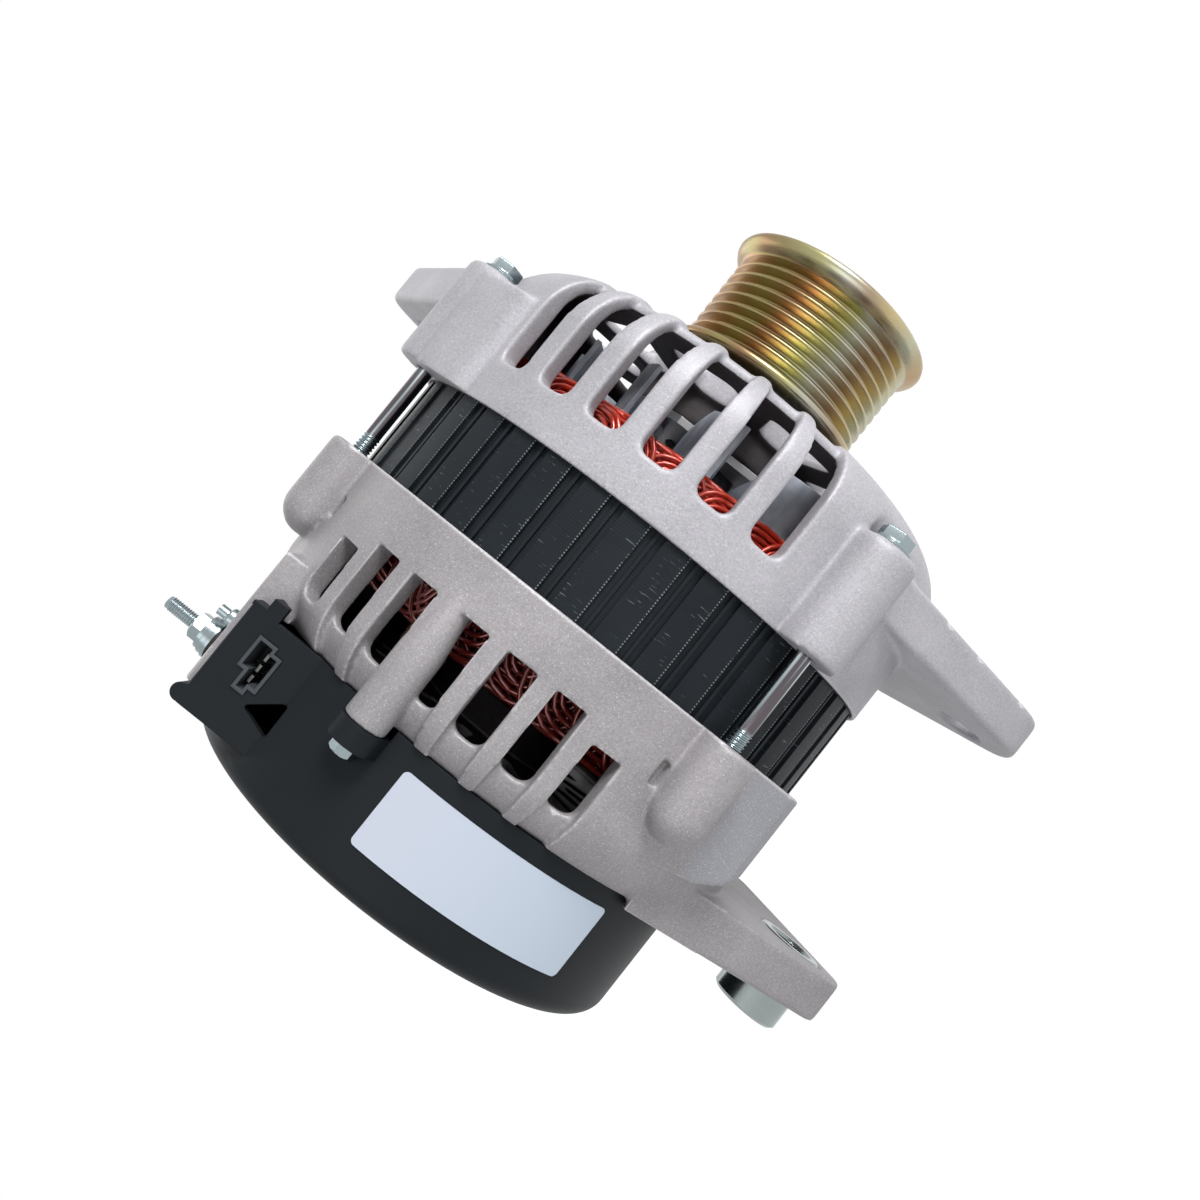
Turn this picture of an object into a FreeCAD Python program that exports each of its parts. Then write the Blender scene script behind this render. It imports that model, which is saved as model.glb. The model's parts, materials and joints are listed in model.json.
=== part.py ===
import FreeCAD, Part
import math
import os
from FreeCAD import Vector

# Belt-driven vehicle alternator with an eight-groove pulley and two pivot ears.
# Lengths are millimetres. While it is modelled the rotor axis is Z and runs towards the pulley,
# with z = 0 on the rim where the stator leaves the rear housing, and Y pointing away from the pivot ears.
# The finished pieces are turned so that the pulley faces -Y and the pivot ears hang below, at -Z,
# with the origin on the rotor axis in the middle of the belt.
# Angles are degrees about the rotor axis, from +X towards +Y.

# Stator
STATOR_R = 76.9
STATOR_BORE_R = 54.0
STATOR_SHOWN = 27.3
REGISTER_DEPTH = 3.5
REGISTER_GAP = 0.05
STATOR_SLOTS = 42
STATOR_SLOT_WIDTH = 4.4
STATOR_BACK_IRON = 7.4
STATOR_SLOT_MOUTH = 2.4
STATOR_TOOTH_TIP = 1.6
GROOVE_DEPTH = 1.3
GROOVE_WIDTH_DEG = 3.3
GROOVE_RIDGE_DEG = 0.7
GROOVE_RIDGE_DROP = 0.5
GROOVE_FIRST_ANGLE = 180.8

# Windings
WINDING_FRONT_REACH = 15.5
WINDING_REAR_REACH = 17.5
WINDING_LAYERS = 4
WINDING_GAP = 0.8
SLOT_LINER = 1.0
LEAD_CIRCLE_R = 56.5
LEAD_ANGLES = (-25.0, 0.0, 50.0)
LEAD_R = 1.2
LEAD_SLEEVE_R = 2.45

# Housings
HOUSING_OVER_STATOR = 1.5
HOUSING_R = STATOR_R + HOUSING_OVER_STATOR
RIM_WALL = 6.0
RIB_DEPTH = 5.8
FRONT_BAND = 11.8
FRONT_TOP_Z = 74.0
FRONT_FACE_Z = 72.6
FRONT_SHOULDER_R = 19.0
FRONT_FACE_WALL = 3.0
FRONT_RING_R = 67.0
FRONT_RIB_END_R = 58.5
FRONT_RIB_SLOPE = 3.6
FRONT_NOSE_R = 32.0
FRONT_NOSE_Z = 81.0
FRONT_LIP_R = 15.0
REAR_BAND = 14.0
REAR_FACE_Z = -44.5
REAR_FACE_WALL = 5.0
REAR_SHOULDER_R = 20.7
REAR_SHOULDER_Z = -38.45
REAR_FACE_DROP = 5.9
REAR_SLOT_END_Z = -35.6
REAR_POCKET_DEPTH = 2.6
REAR_PAD_ANGLES = (124.5, 130.0)
REAR_PAD_ROUND = 5.0
REAR_HUB_R = 24.0
REAR_HUB_Z = -28.5

# Air slots
FRONT_SLOT_WIDTH = 9.6
FRONT_SLOT_PITCH = 11.65
FRONT_SLOT_FIRST = 137.7
FRONT_SLOT_COUNT = 6
SLOT_CORNER_R = 2.6
FRONT_FACE_VENTS = 10
FRONT_VENT_R = (33.0, 52.0)
FRONT_VENT_WIDTH = (11.2, 22.0)
REAR_SLOT_WIDTH = 8.6
REAR_SLOT_PITCH = 10.2
REAR_SLOT_MIDDLE = 160.6
REAR_SLOT_OFFSET = 5.9
REAR_SHORT_SLOT_Z = -18.5
REAR_FACE_VENTS = 14
REAR_VENT_R = (27.0, 44.0)
REAR_VENT_WIDTH = (4.8, 8.8)

# Through bolts
BOLT_SHANK_R = 2.2
BOLT_THREAD_R = 2.5
BOLT_STATOR_GAP = 1.4
BOLT_CIRCLE_R = STATOR_R + BOLT_STATOR_GAP + BOLT_THREAD_R
BOLT_HEAD_AF = 8.0
BOLT_HEAD_HEIGHT = 3.6
BOLT_FLANGE_R = 4.6
BOLT_FLANGE_HEIGHT = 0.9
BOLT_WASHER_R = 5.6
BOLT_WASHER_THICK = 0.8
BOLT_POCKET_R = 6.2
BOLT_HOLE_R = 2.8
BOLT_TAPPED_R = 2.52
BOLT_SEAT_Z = 59.1
BOLT_BOSS_ROUND = 1.6
BOLT_THREAD_TOP_Z = 5.5
BOLT_END_Z = -17.0
BOLT_BOSS_R = 8.8
BOLT_BOSS_REAR_R = 7.8
BOLT_BOSS_REAR_Z = -19.5
BOLT_PAIR_MIDDLE = 163.65
BOLT_PAIR_HALF = 50.25
BOSS_BLEND = ((-16.8, -4.0, 0.0), (0.2, -4.0, 0.0), (5.7, 9.5, 5.0), (-5.3, 27.0, 8.0), (-16.8, 24.0, 0.0))
BOSS_BLEND_DROP = 2.4
BOSS_NOTCH_WIDTH = 3.0
BOSS_NOTCH_DEPTH = 2.4
BOSS_NOTCH_Z = (-18.0, -11.5)
BOSS_NOTCH_ANGLES = (120.4, 206.9)

# Pivot ears and bush
PIVOT_Y = -106.8
FRONT_EAR_Z = (47.2, 60.0)
REAR_EAR_Z = (-47.0, -33.4)
FRONT_PIVOT_R = 6.5
BUSH_R = 10.6
BUSH_BORE_R = 6.5
BUSH_STICKS_OUT = 9.3
BUSH_CHAMFER = 0.9
FRONT_EAR = ((-59.4, -50.5), (-12.35, -127.66, 19.5), (50.0, -94.6, 7.0), (60.0, -48.0), (0.0, -40.0))
REAR_EAR = ((-53.5, -51.5), (-8.2, -125.0, 8.0), (59.8, -101.5, 6.0), (64.0, -44.0), (0.0, -40.0))
REAR_FLANK = ((-59.7, -50.6), (-52.0, -67.9), (-45.0, -71.0), (-30.0, -60.0), (-50.0, -40.0))
REAR_FLANK_SIDE = ((-40.0, 0.0), (-72.0, 0.0), (-72.0, -23.3), (-68.3, -27.1), (-64.3, -29.5), (-60.1, -31.4),
                   (-55.8, -32.3), (-40.0, -32.6))

# Adjusting ear
ADJUST_X = 47.0
ADJUST_Y = 103.0
ADJUST_TAPPED_R = 4.25
ADJUST_EAR_TOP = 1.0
ADJUST_EAR = ((-21.0, 72.0), (-19.0, 85.7, 12.0), (44.0, 120.6, 15.5), (64.5, 108.0, 15.5),
              (66.0, 40.0), (0.0, 40.0))

# Rear cover
COVER_INSET = 7.0
COVER_R = HOUSING_R - COVER_INSET
COVER_WALL = 2.4
COVER_END_Z = -81.6
COVER_ROUND = 5.0
COVER_FLAT_DROP = 6.8
COVER_FLAT_Y = COVER_R - COVER_FLAT_DROP
COVER_VENTS = 20
COVER_VENT_R = (26.0, 50.0)
COVER_VENT_WIDTH = (3.2, 5.2)

# Cover studs
COVER_STUD_ANGLE = 161.3
COVER_STUD_OUTSIDE = 3.8
COVER_STUD_CIRCLE_R = COVER_R + COVER_STUD_OUTSIDE
COVER_STUD_BOSS_R = 5.6
COVER_STUD_TOP_Z = (-27.0, -11.0)
COVER_STUD_TOP_R = 3.4
COVER_STUD_SEAT_Z = -47.5
COVER_STUD_R = 1.75
COVER_STUD_GRIP = 13.0
COVER_STUD_COUNT = 3
COVER_LUG_R = 6.0
COVER_LUG_HEIGHT = 5.6
COVER_WASHER_R = 3.6
COVER_WASHER_THICK = 0.5
COVER_NUT_AF = 6.2
COVER_NUT_HEIGHT = 2.4
COVER_STUD_SHOWS = 0.3

# Terminal wall and terminals
WALL_GAP = 0.4
WALL_THICK = 2.8
WALL_LOW_Y = COVER_FLAT_Y + WALL_GAP
WALL_TOP_Y = WALL_LOW_Y + WALL_THICK
WALL_X = (-50.0, 26.0)
WALL_Z = (-70.2, -30.0)
WALL_ROUND = 1.3
WALL_ROOT_Y = (56.0, 60.0)
OUTPUT_X = -39.0
OUTPUT_Z = -60.5
OUTPUT_STUD_R = 2.0
OUTPUT_STUD_SHOWN = 18.2
OUTPUT_STUD_HEAD = (4.2, 3.0)
OUTPUT_TAB_THICK = 2.0
OUTPUT_TAB_GAP = 2.7
OUTPUT_TAB_REACH = (5.4, 15.0)
OUTPUT_SLEEVE_R = 3.6
OUTPUT_FLANGE_R = 5.6
OUTPUT_FLANGE_HEIGHT = 2.0
OUTPUT_WASHER_R = 5.8
OUTPUT_WASHER_THICK = 1.0
SPRING_WASHER_R = 5.4
SPRING_WASHER_THICK = 1.5
OUTPUT_NUT_FLANGE = (4.9, 1.3)
OUTPUT_NUT_AF = 7.0
OUTPUT_NUT_HEIGHT = 3.3
SECOND_X = -44.5
SECOND_Z = -52.7
SECOND_SHANK_R = 1.5
SECOND_HEAD_R = 2.6
SECOND_HEAD_HEIGHT = 2.4
SECOND_TIP_SHOWN = 5.2
SECOND_ROOT_DEPTH = 5.6

# Connector block on the cover
BLOCK_FACE_X = -57.0
BLOCK_LOW_Y = 40.0
BLOCK_Z = (-74.0, -43.4)
BLOCK_INNER_X = -20.0
BLOCK_TOE_Y = (56.5, 60.8)
BLOCK_TOE_Z = -40.2
NUB_R = 2.4
NUB_LENGTH = 6.4
SOCKET_OUTLINE = ((58.1, -49.1), (52.6, -49.1), (52.6, -50.8), (50.1, -50.8), (50.1, -61.1), (52.3, -61.1),
                  (52.3, -63.0), (56.0, -63.0), (56.0, -58.0), (58.1, -58.0))
SOCKET_DEPTH = 12.0
SOCKET_FRAME = 0.9
SOCKET_PROUD = 0.4
SOCKET_FLOOR = 1.5
PIN_Y = 54.1
PINS_Z = (-53.1, -56.3, -59.5)
PIN_SIZE = (0.8, 2.0)
PIN_SET_BACK = 3.0
BLOCK_WINDOW = ((51.2, -64.8, 0.8), (41.8, -67.9, 0.8), (42.0, -57.4, 0.8))

# Label
LABEL_THICK = 0.3
LABEL_ANGLES = (171.8, 222.4)
LABEL_Z = (-70.2, -49.6)
LABEL_CORNER = 1.4

# Pulley
PULLEY_RIDGE_R = 29.95
PULLEY_GROOVE_DEPTH = 2.9
PULLEY_GROOVES = 8
PULLEY_PITCH = 3.56
PULLEY_GROOVE_HALF = (1.36, 0.32)
PULLEY_FRONT_Z = 119.2
PULLEY_FLANGE_Z = 115.77
PULLEY_FLANGE_R = 32.6
PULLEY_LENGTH = 34.7
PULLEY_DISC_R = 33.0
PULLEY_DISC_THICK = 2.4
PULLEY_HUB_R = 17.0
PULLEY_WALL = 3.2
PULLEY_WEB_Z = (92.0, 101.0)
PULLEY_SEAT_Z = 107.0
PULLEY_BOSS_R = 14.5
BELT_Z = PULLEY_FLANGE_Z - PULLEY_GROOVES * PULLEY_PITCH / 2

# Shaft and bearings
SHAFT_R = 8.5
SHAFT_MID_R = 9.5
SHAFT_NUT_R = 7.9
SHAFT_REAR_R = 7.5
SHAFT_TIP_R = 5.0
SHAFT_FRONT_END_Z = 121.0
SHAFT_REAR_END_Z = -70.5
FRONT_BEARING = (SHAFT_R, 23.5, 14.0)
FRONT_BEARING_Z = 61.6
FRONT_BEARING_BALLS = 8
REAR_BEARING = (SHAFT_REAR_R, 17.5, 11.0)
REAR_BEARING_Z = -41.0
REAR_BEARING_BALLS = 9
REAR_BEARING_LIP_R = 14.0
BALL_GAP = 0.05
CAGE_HALF_THICK = 0.6
NUT_AF = 24.0
NUT_HEIGHT = 11.0
COLLAR_R = 13.5
RETAINER_R = 32.5
RETAINER_THICK = 2.2
RETAINER_SCREW_R = 2.0
RETAINER_SCREW_CIRCLE_R = 27.6
RETAINER_SCREW_HEAD_R = 3.6
RETAINER_SCREW_COUNT = 4
RETAINER_SCREW_LENGTH = 8.0
SCREW_HEAD_HEIGHT = 2.0
CROSS_WIDTH = 1.0
CROSS_LENGTH = 4.2

# Rotor
AIR_GAP = 0.5
POLE_PAIRS = 7
ROTOR_MIDDLE_Z = 13.65
ROTOR_LENGTH = 54.0
POLE_DISC_THICK = 11.0
CLAW_ROOT_WIDTH = 19.0
CLAW_TIP_WIDTH = 8.0
CLAW_TIP_THICK = 4.5
CLAW_ROOT_THICK = 10.5
CLAW_END_GAP = 2.5
FIELD_CORE_R = 26.0
BOBBIN_WALL = 1.5
BOBBIN_R = 41.0
FIELD_COIL_R = 40.0
FAN_THICK = 1.5
FAN_R = 51.0
FAN_DISC_R = 38.0
FRONT_FAN_BLADES = 11
FRONT_FAN_HEIGHT = 23.0
REAR_FAN_BLADES = 13
REAR_FAN_HEIGHT = 10.0

# Slip rings, brushes and springs
SLIP_RING_R = 8.2
SLIP_RING_IN_R = 6.6
SLIP_RING_WIDTH = 6.0
SLIP_RINGS_Z = (-56.5, -65.5)
SLIP_HUB_Z = (-69.5, -51.0)
BRUSH_SIZE = (5.0, 7.0)
BRUSH_LENGTH = 14.0
BRUSH_GAP = 0.05
BRUSH_ANGLE = 150.0
HOLDER_WALL = 2.0
HOLDER_LENGTH = 26.0
HOLDER_RING_GAP = 2.3
BRUSH_CLEARANCE = 0.15
SPRING_WIRE_R = 0.3
SPRING_R = 1.9
SPRING_TURNS = 5

# Regulator and capacitor
REGULATOR_X = (-58.0, -26.0)
REGULATOR_Y = (-26.0, 8.0)
REGULATOR_Z = (-70.0, -53.0)
REGULATOR_ARM_THICK = 3.0
REGULATOR_SCREWS = ((-49.0, 16.0), (-20.0, -47.0))
REGULATOR_FINS = 6
REGULATOR_FIN_PITCH = 5.0
REGULATOR_FIN_DEPTH = 3.5
CAPACITOR_SPOT = (-5.0, -50.0)
CAPACITOR_R = 6.5
CAPACITOR_Z = (-66.0, -50.0)

# Rectifier, stacked rearwards from the rear face
SINK_OUT_R = COVER_FLAT_Y - COVER_WALL - 1.2
SINK_IN_R = 30.0
NEGATIVE_SINK_THICK = 4.0
FRAME_GAP = 3.5
TERMINAL_FRAME_THICK = 3.0
POSITIVE_SINK_GAP = 4.5
POSITIVE_SINK_THICK = 3.0
POSITIVE_FIN_HEIGHT = 7.5
POSITIVE_FINS = 12
POSITIVE_FIN_PITCH = 16.0
SINK_START_ANGLE = -82.0
NEGATIVE_SINK_SWEEP = 187.0
POSITIVE_SINK_SWEEP = 203.0
DIODE_CIRCLE_R = 46.0
DIODE_ANGLES = (-72.0, -34.0, 4.0, 38.0)
DIODE_R = 5.1
DIODE_HEIGHT = 4.0
DIODE_SUNK = 1.5
FRAME_SCREW_CIRCLE_R = 52.0
FRAME_SCREW_ANGLES = (-50.0, 20.0, 88.0)
FRAME_SCREW_R = 1.75
FRAME_SCREW_HEAD_R = 3.5
FRAME_SCREW_GRIP = 3.8
INSULATOR_R = 5.5
INSULATOR_SLEEVE_R = 3.35
INSULATOR_COLLAR = 2.0

RUNNING_GAP = 0.4
FIT_GAP = 0.05


def at(radius, angle, z=0.0):
    turn = math.radians(angle)
    return Vector(radius * math.cos(turn), radius * math.sin(turn), z)


def rod(radius, z_low, z_high, x=0.0, y=0.0):
    return Part.makeCylinder(radius, z_high - z_low, Vector(x, y, z_low))


def tube(outer, inner, z_low, z_high, x=0.0, y=0.0):
    return rod(outer, z_low, z_high, x, y).cut(rod(inner, z_low - 1, z_high + 1, x, y))


def block(x, y, z):
    return Part.makeBox(x[1] - x[0], y[1] - y[0], z[1] - z[0], Vector(x[0], y[0], z[0]))


def turned(shape, angle):
    copy = shape.copy()
    copy.rotate(Vector(0, 0, 0), Vector(0, 0, 1), angle)
    return copy


def joined(shapes):
    whole = shapes[0]
    if len(shapes) > 1:
        whole = whole.multiFuse(shapes[1:])
    return whole.removeSplitter()


def without(shape, cutters):
    return shape.cut(Part.makeCompound(cutters)) if cutters else shape


def rounded_wire(corners, to_space):
    """A closed wire through (a, b, radius) corners, each one rounded by its own radius."""
    count = len(corners)
    points = [to_space(corner[0], corner[1]) for corner in corners]
    edges = []
    leaves = []
    for i in range(count):
        here, before, after = points[i], points[i - 1], points[(i + 1) % count]
        radius = corners[i][2] if len(corners[i]) > 2 else 0.0
        back = (before - here).normalize()
        ahead = (after - here).normalize()
        half = back.getAngle(ahead) / 2
        if radius <= 0 or half > math.pi / 2 - 1e-4:
            leaves.append((here, None, here))
            continue
        reach = radius / math.tan(half)
        middle = (back + ahead).normalize()
        top = here + middle * (radius / math.sin(half) - radius)
        leaves.append((here + back * reach, top, here + ahead * reach))
    for i in range(count):
        start, top, end = leaves[i]
        if top is not None:
            edges.append(Part.Arc(start, top, end).toShape())
        following = leaves[(i + 1) % count][0]
        if end.distanceToPoint(following) > 1e-6:
            edges.append(Part.LineSegment(end, following).toShape())
    return Part.Wire(edges)


def spun(corners, sweep=360.0):
    """A solid spun about the rotor axis from (radius, z, rounding) corners."""
    wire = rounded_wire(corners, lambda a, b: Vector(a, 0, b))
    return Part.Face(wire).revolve(Vector(0, 0, 0), Vector(0, 0, 1), sweep)


def side_plate(corners, x):
    """A plate square to X from (y, z, rounding) corners."""
    wire = rounded_wire(corners, lambda a, b: Vector(x[0], a, b))
    return Part.Face(wire).extrude(Vector(x[1] - x[0], 0, 0))


def plate(corners, z_low, z_high):
    """A plate square to the rotor axis from (x, y, rounding) corners."""
    wire = rounded_wire(corners, lambda a, b: Vector(a, b, z_low))
    return Part.Face(wire).extrude(Vector(0, 0, z_high - z_low))


def radial_block(width, r, z, angle):
    """A block along the radius at the given angle: its width is across the radius."""
    return turned(block(r, (-width / 2, width / 2), z), angle)


def hexagon(across_flats, z_low, z_high, x=0.0, y=0.0):
    radius = across_flats / math.sqrt(3)
    corners = [(x + radius * math.cos(math.radians(60 * k)), y + radius * math.sin(math.radians(60 * k)))
               for k in range(6)]
    prism = plate(corners, z_low, z_high)
    cone = Part.makeCone(across_flats / 2 + (z_high - z_low) * 1.2, across_flats / 2 * 0.97,
                         (z_high - z_low) * 1.2, Vector(x, y, z_high - (z_high - z_low) * 1.2))
    return prism.common(cone.fuse(rod(radius + 1, z_low - 1, z_low, x, y)))


def bolt_angles():
    near = BOLT_PAIR_MIDDLE
    return [near - BOLT_PAIR_HALF, near + BOLT_PAIR_HALF,
            near + 180 - BOLT_PAIR_HALF, near + 180 + BOLT_PAIR_HALF]


def cover_stud_angles():
    return [COVER_STUD_ANGLE + 360.0 / COVER_STUD_COUNT * k for k in range(COVER_STUD_COUNT)]


# Front housing

def front_envelope():
    return spun([(0, STATOR_SHOWN), (HOUSING_R, STATOR_SHOWN), (HOUSING_R, FRONT_TOP_Z, FRONT_SHOULDER_R),
                 (FRONT_RIB_END_R, FRONT_TOP_Z, 3.0),
                 (FRONT_RIB_END_R - FRONT_RIB_SLOPE, FRONT_FACE_Z, 3.0),
                 (FRONT_NOSE_R + 4.0, FRONT_FACE_Z, 4.0), (FRONT_NOSE_R, FRONT_NOSE_Z, 3.5), (0, FRONT_NOSE_Z)])


def front_cavity():
    seat_top = STATOR_SHOWN + REGISTER_DEPTH + REGISTER_GAP
    inner = HOUSING_R - RIM_WALL
    rib_inner = HOUSING_R - RIB_DEPTH
    ceiling = FRONT_FACE_Z - FRONT_FACE_WALL
    hub = FRONT_BEARING[1]
    bearing_top = FRONT_BEARING_Z + FRONT_BEARING[2]
    band_top = STATOR_SHOWN + FRONT_BAND
    return spun([(0, STATOR_SHOWN - 5), (STATOR_R + REGISTER_GAP, STATOR_SHOWN - 5),
                 (STATOR_R + REGISTER_GAP, seat_top), (inner, seat_top), (inner, band_top),
                 (rib_inner, band_top + 3), (rib_inner, ceiling, 11.0), (FRONT_NOSE_R - 1, ceiling, 2.0),
                 (FRONT_NOSE_R - 1, FRONT_BEARING_Z), (hub, FRONT_BEARING_Z), (hub, bearing_top),
                 (FRONT_LIP_R, bearing_top), (FRONT_LIP_R, FRONT_NOSE_Z + 1), (0, FRONT_NOSE_Z + 1)])


def front_slot_angles():
    near = [FRONT_SLOT_FIRST + FRONT_SLOT_PITCH * k for k in range(FRONT_SLOT_COUNT)]
    return near + [angle + 180.0 for angle in near]


def rounded_slot(width, r, z, angle, bottom_rounds, top_rounds):
    """A radial slot whose outline, seen from outside, is a rectangle with rounded corners."""
    half = width / 2
    corners = [(-half, z[0], bottom_rounds), (half, z[0], bottom_rounds),
               (half, z[1], top_rounds), (-half, z[1], top_rounds)]
    wire = rounded_wire(corners, lambda a, b: Vector(r[0], a, b))
    return turned(Part.Face(wire).extrude(Vector(r[1] - r[0], 0, 0)), angle)


def front_slots():
    bottom = STATOR_SHOWN + FRONT_BAND
    past = FRONT_TOP_Z + 20
    lower_face = spun([(0, bottom), (HOUSING_R, bottom), (HOUSING_R, FRONT_FACE_Z, FRONT_SHOULDER_R),
                       (0, FRONT_FACE_Z)])
    cutters = []
    for angle in front_slot_angles():
        cutters.append(rounded_slot(FRONT_SLOT_WIDTH, (FRONT_RING_R, HOUSING_R + 20), (bottom, past), angle,
                                    SLOT_CORNER_R, 0))
        pocket = radial_block(FRONT_SLOT_WIDTH, (FRONT_RIB_END_R - 8, FRONT_RING_R + 1), (bottom, past), angle)
        cutters.append(pocket.cut(lower_face))
    return cutters


def tapered_corners(r, widths, rounding):
    """The outline of an opening that widens outwards from the first radius to the second."""
    inner, outer = widths[0] / 2, widths[1] / 2
    return [(r[0], -inner, rounding), (r[1], -outer, rounding), (r[1], outer, rounding), (r[0], inner, rounding)]


def front_face_vents():
    step = 360.0 / FRONT_FACE_VENTS
    opening = plate(tapered_corners(FRONT_VENT_R, FRONT_VENT_WIDTH, 2.5), FRONT_BEARING_Z, FRONT_NOSE_Z)
    return [turned(opening, step * (k + 0.5)) for k in range(FRONT_FACE_VENTS)]


def front_bolt_bosses():
    bosses = []
    for angle in bolt_angles():
        centre = at(BOLT_CIRCLE_R, angle)
        bosses.append(placed(spun([(0, STATOR_SHOWN), (BOLT_BOSS_R, STATOR_SHOWN),
                                   (BOLT_BOSS_R, BOLT_SEAT_Z, BOLT_BOSS_ROUND), (0, BOLT_SEAT_Z)]), centre))
        bosses.append(radial_block(2 * BOLT_BOSS_R, (HOUSING_R - RIB_DEPTH, BOLT_CIRCLE_R),
                                   (STATOR_SHOWN, BOLT_SEAT_Z - BOLT_BOSS_ROUND), angle))
    near = bolt_angles()[0]
    corners = [(BOLT_CIRCLE_R + corner[0], corner[1], corner[2]) for corner in BOSS_BLEND]
    bosses.append(turned(plate(corners, STATOR_SHOWN, BOLT_SEAT_Z - BOSS_BLEND_DROP), near))
    return bosses


def bolt_seat_pockets():
    pockets = []
    above = (BOLT_SEAT_Z, FRONT_TOP_Z + 5)
    for angle in bolt_angles():
        centre = at(BOLT_CIRCLE_R, angle)
        pockets.append(rod(BOLT_POCKET_R, above[0], above[1], centre.x, centre.y))
        pockets.append(radial_block(2 * BOLT_POCKET_R, (BOLT_CIRCLE_R, BOLT_CIRCLE_R + 20), above, angle))
        pockets.append(rod(BOLT_HOLE_R, STATOR_SHOWN - 1, BOLT_SEAT_Z + 1, centre.x, centre.y))
    return pockets


def front_ears():
    pivot = plate(FRONT_EAR, FRONT_EAR_Z[0], FRONT_EAR_Z[1])
    adjust = plate(ADJUST_EAR, FRONT_EAR_Z[0], FRONT_EAR_Z[1] + ADJUST_EAR_TOP)
    return [pivot, adjust]


def screw_holes_front():
    top = FRONT_BEARING_Z + RETAINER_SCREW_LENGTH + 1.5
    return [rod(RETAINER_SCREW_R + FIT_GAP, FRONT_BEARING_Z - 1, top, spot.x, spot.y)
            for spot in retainer_screw_spots()]


def front_housing():
    outer = joined([front_envelope()] + front_bolt_bosses() + front_ears())
    cutters = [front_cavity()] + bolt_seat_pockets() + front_slots() + front_face_vents() + screw_holes_front()
    below, above = FRONT_EAR_Z[0] - 5, FRONT_EAR_Z[1] + 5
    cutters.append(rod(FRONT_PIVOT_R, below, above, 0, PIVOT_Y))
    cutters.append(rod(ADJUST_TAPPED_R, below, above, ADJUST_X, ADJUST_Y))
    return without(outer, cutters)


# Rear housing

def rear_envelope():
    return spun([(0, 0), (HOUSING_R, 0), (HOUSING_R, REAR_SHOULDER_Z, REAR_SHOULDER_R),
                 (rear_face_radius(), REAR_FACE_Z), (0, REAR_FACE_Z)])


def rear_face_radius():
    return HOUSING_R - REAR_FACE_DROP


def rear_cavity():
    inner = HOUSING_R - RIM_WALL
    rib_inner = HOUSING_R - RIB_DEPTH
    floor = REAR_FACE_Z + REAR_FACE_WALL
    seat = -REGISTER_DEPTH - REGISTER_GAP
    return spun([(0, 5), (STATOR_R + REGISTER_GAP, 5), (STATOR_R + REGISTER_GAP, seat), (inner, seat),
                 (inner, -REAR_BAND), (rib_inner, -REAR_BAND - 3), (rib_inner, floor, 6.0),
                 (REAR_HUB_R, floor), (REAR_HUB_R, REAR_HUB_Z), (REAR_BEARING[1], REAR_HUB_Z),
                 (REAR_BEARING[1], REAR_BEARING_Z), (REAR_BEARING_LIP_R, REAR_BEARING_Z),
                 (REAR_BEARING_LIP_R, REAR_FACE_Z - 1),
                 (0, REAR_FACE_Z - 1)])


def rear_slot_spans():
    """The angle of each air slot and the height at which it starts, below the rim."""
    spans = []
    for k in range(3):
        step = REAR_SLOT_OFFSET + REAR_SLOT_PITCH * k
        top = REAR_SHORT_SLOT_Z if k == 2 else -REAR_BAND
        spans.append((REAR_SLOT_MIDDLE - step, top))
        spans.append((REAR_SLOT_MIDDLE + step, -REAR_BAND))
    last = REAR_SLOT_MIDDLE + REAR_SLOT_OFFSET + 3 * REAR_SLOT_PITCH
    spans.append((last, REAR_SHORT_SLOT_Z))
    return spans


def rear_slots():
    floor_r = HOUSING_R - REAR_POCKET_DEPTH
    deep = spun([(0, 5), (floor_r, 5), (floor_r, REAR_SHOULDER_Z + 0.4, REAR_SHOULDER_R - REAR_POCKET_DEPTH),
                 (rear_face_radius() - REAR_POCKET_DEPTH + 0.4, REAR_FACE_Z), (0, REAR_FACE_Z)])
    across = (HOUSING_R - RIB_DEPTH - 8, HOUSING_R + 10)
    cutters = []
    spans = rear_slot_spans()
    closed = min(angle for angle, top in spans)
    for angle, top in spans:
        for turn in (angle, angle + 180.0):
            cutters.append(rounded_slot(REAR_SLOT_WIDTH, across, (REAR_SLOT_END_Z, top), turn, 3.0, 0.4))
            if turn != closed:
                hollow = rounded_slot(REAR_SLOT_WIDTH, across, (REAR_FACE_Z - 10, top - 4), turn, 0, 0.4)
                cutters.append(hollow.cut(deep))
    return cutters


def rear_pad():
    """The full corner of the rear housing beside the terminal wall."""
    start, end = REAR_PAD_ANGLES
    inner, low = HOUSING_R - RIB_DEPTH, REAR_FACE_Z + 0.8
    pad = spun([(inner, low), (HOUSING_R - 0.6, low, REAR_PAD_ROUND), (HOUSING_R, -REAR_BAND), (inner, -REAR_BAND)],
               end - start)
    return turned(pad, start)


def rear_face_vents():
    vents = []
    opening = plate(tapered_corners(REAR_VENT_R, REAR_VENT_WIDTH, 1.5), REAR_FACE_Z - 5, REAR_FACE_Z + 14)
    for k in range(REAR_FACE_VENTS):
        vents.append(turned(opening, 360.0 / REAR_FACE_VENTS * (k + 0.5)))
    return vents


def rear_bolt_bosses():
    bosses = []
    for angle in bolt_angles():
        centre = at(BOLT_CIRCLE_R, angle)
        top = rod(BOLT_BOSS_REAR_R, BOLT_BOSS_REAR_Z, 0, centre.x, centre.y)
        web = radial_block(2 * BOLT_BOSS_REAR_R, (HOUSING_R - RIB_DEPTH, BOLT_CIRCLE_R), (BOLT_BOSS_REAR_Z, 0),
                           angle)
        dome = Part.makeSphere(BOLT_BOSS_REAR_R, Vector(centre.x, centre.y, BOLT_BOSS_REAR_Z))
        bosses += [top, web, dome]
    return bosses


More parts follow.
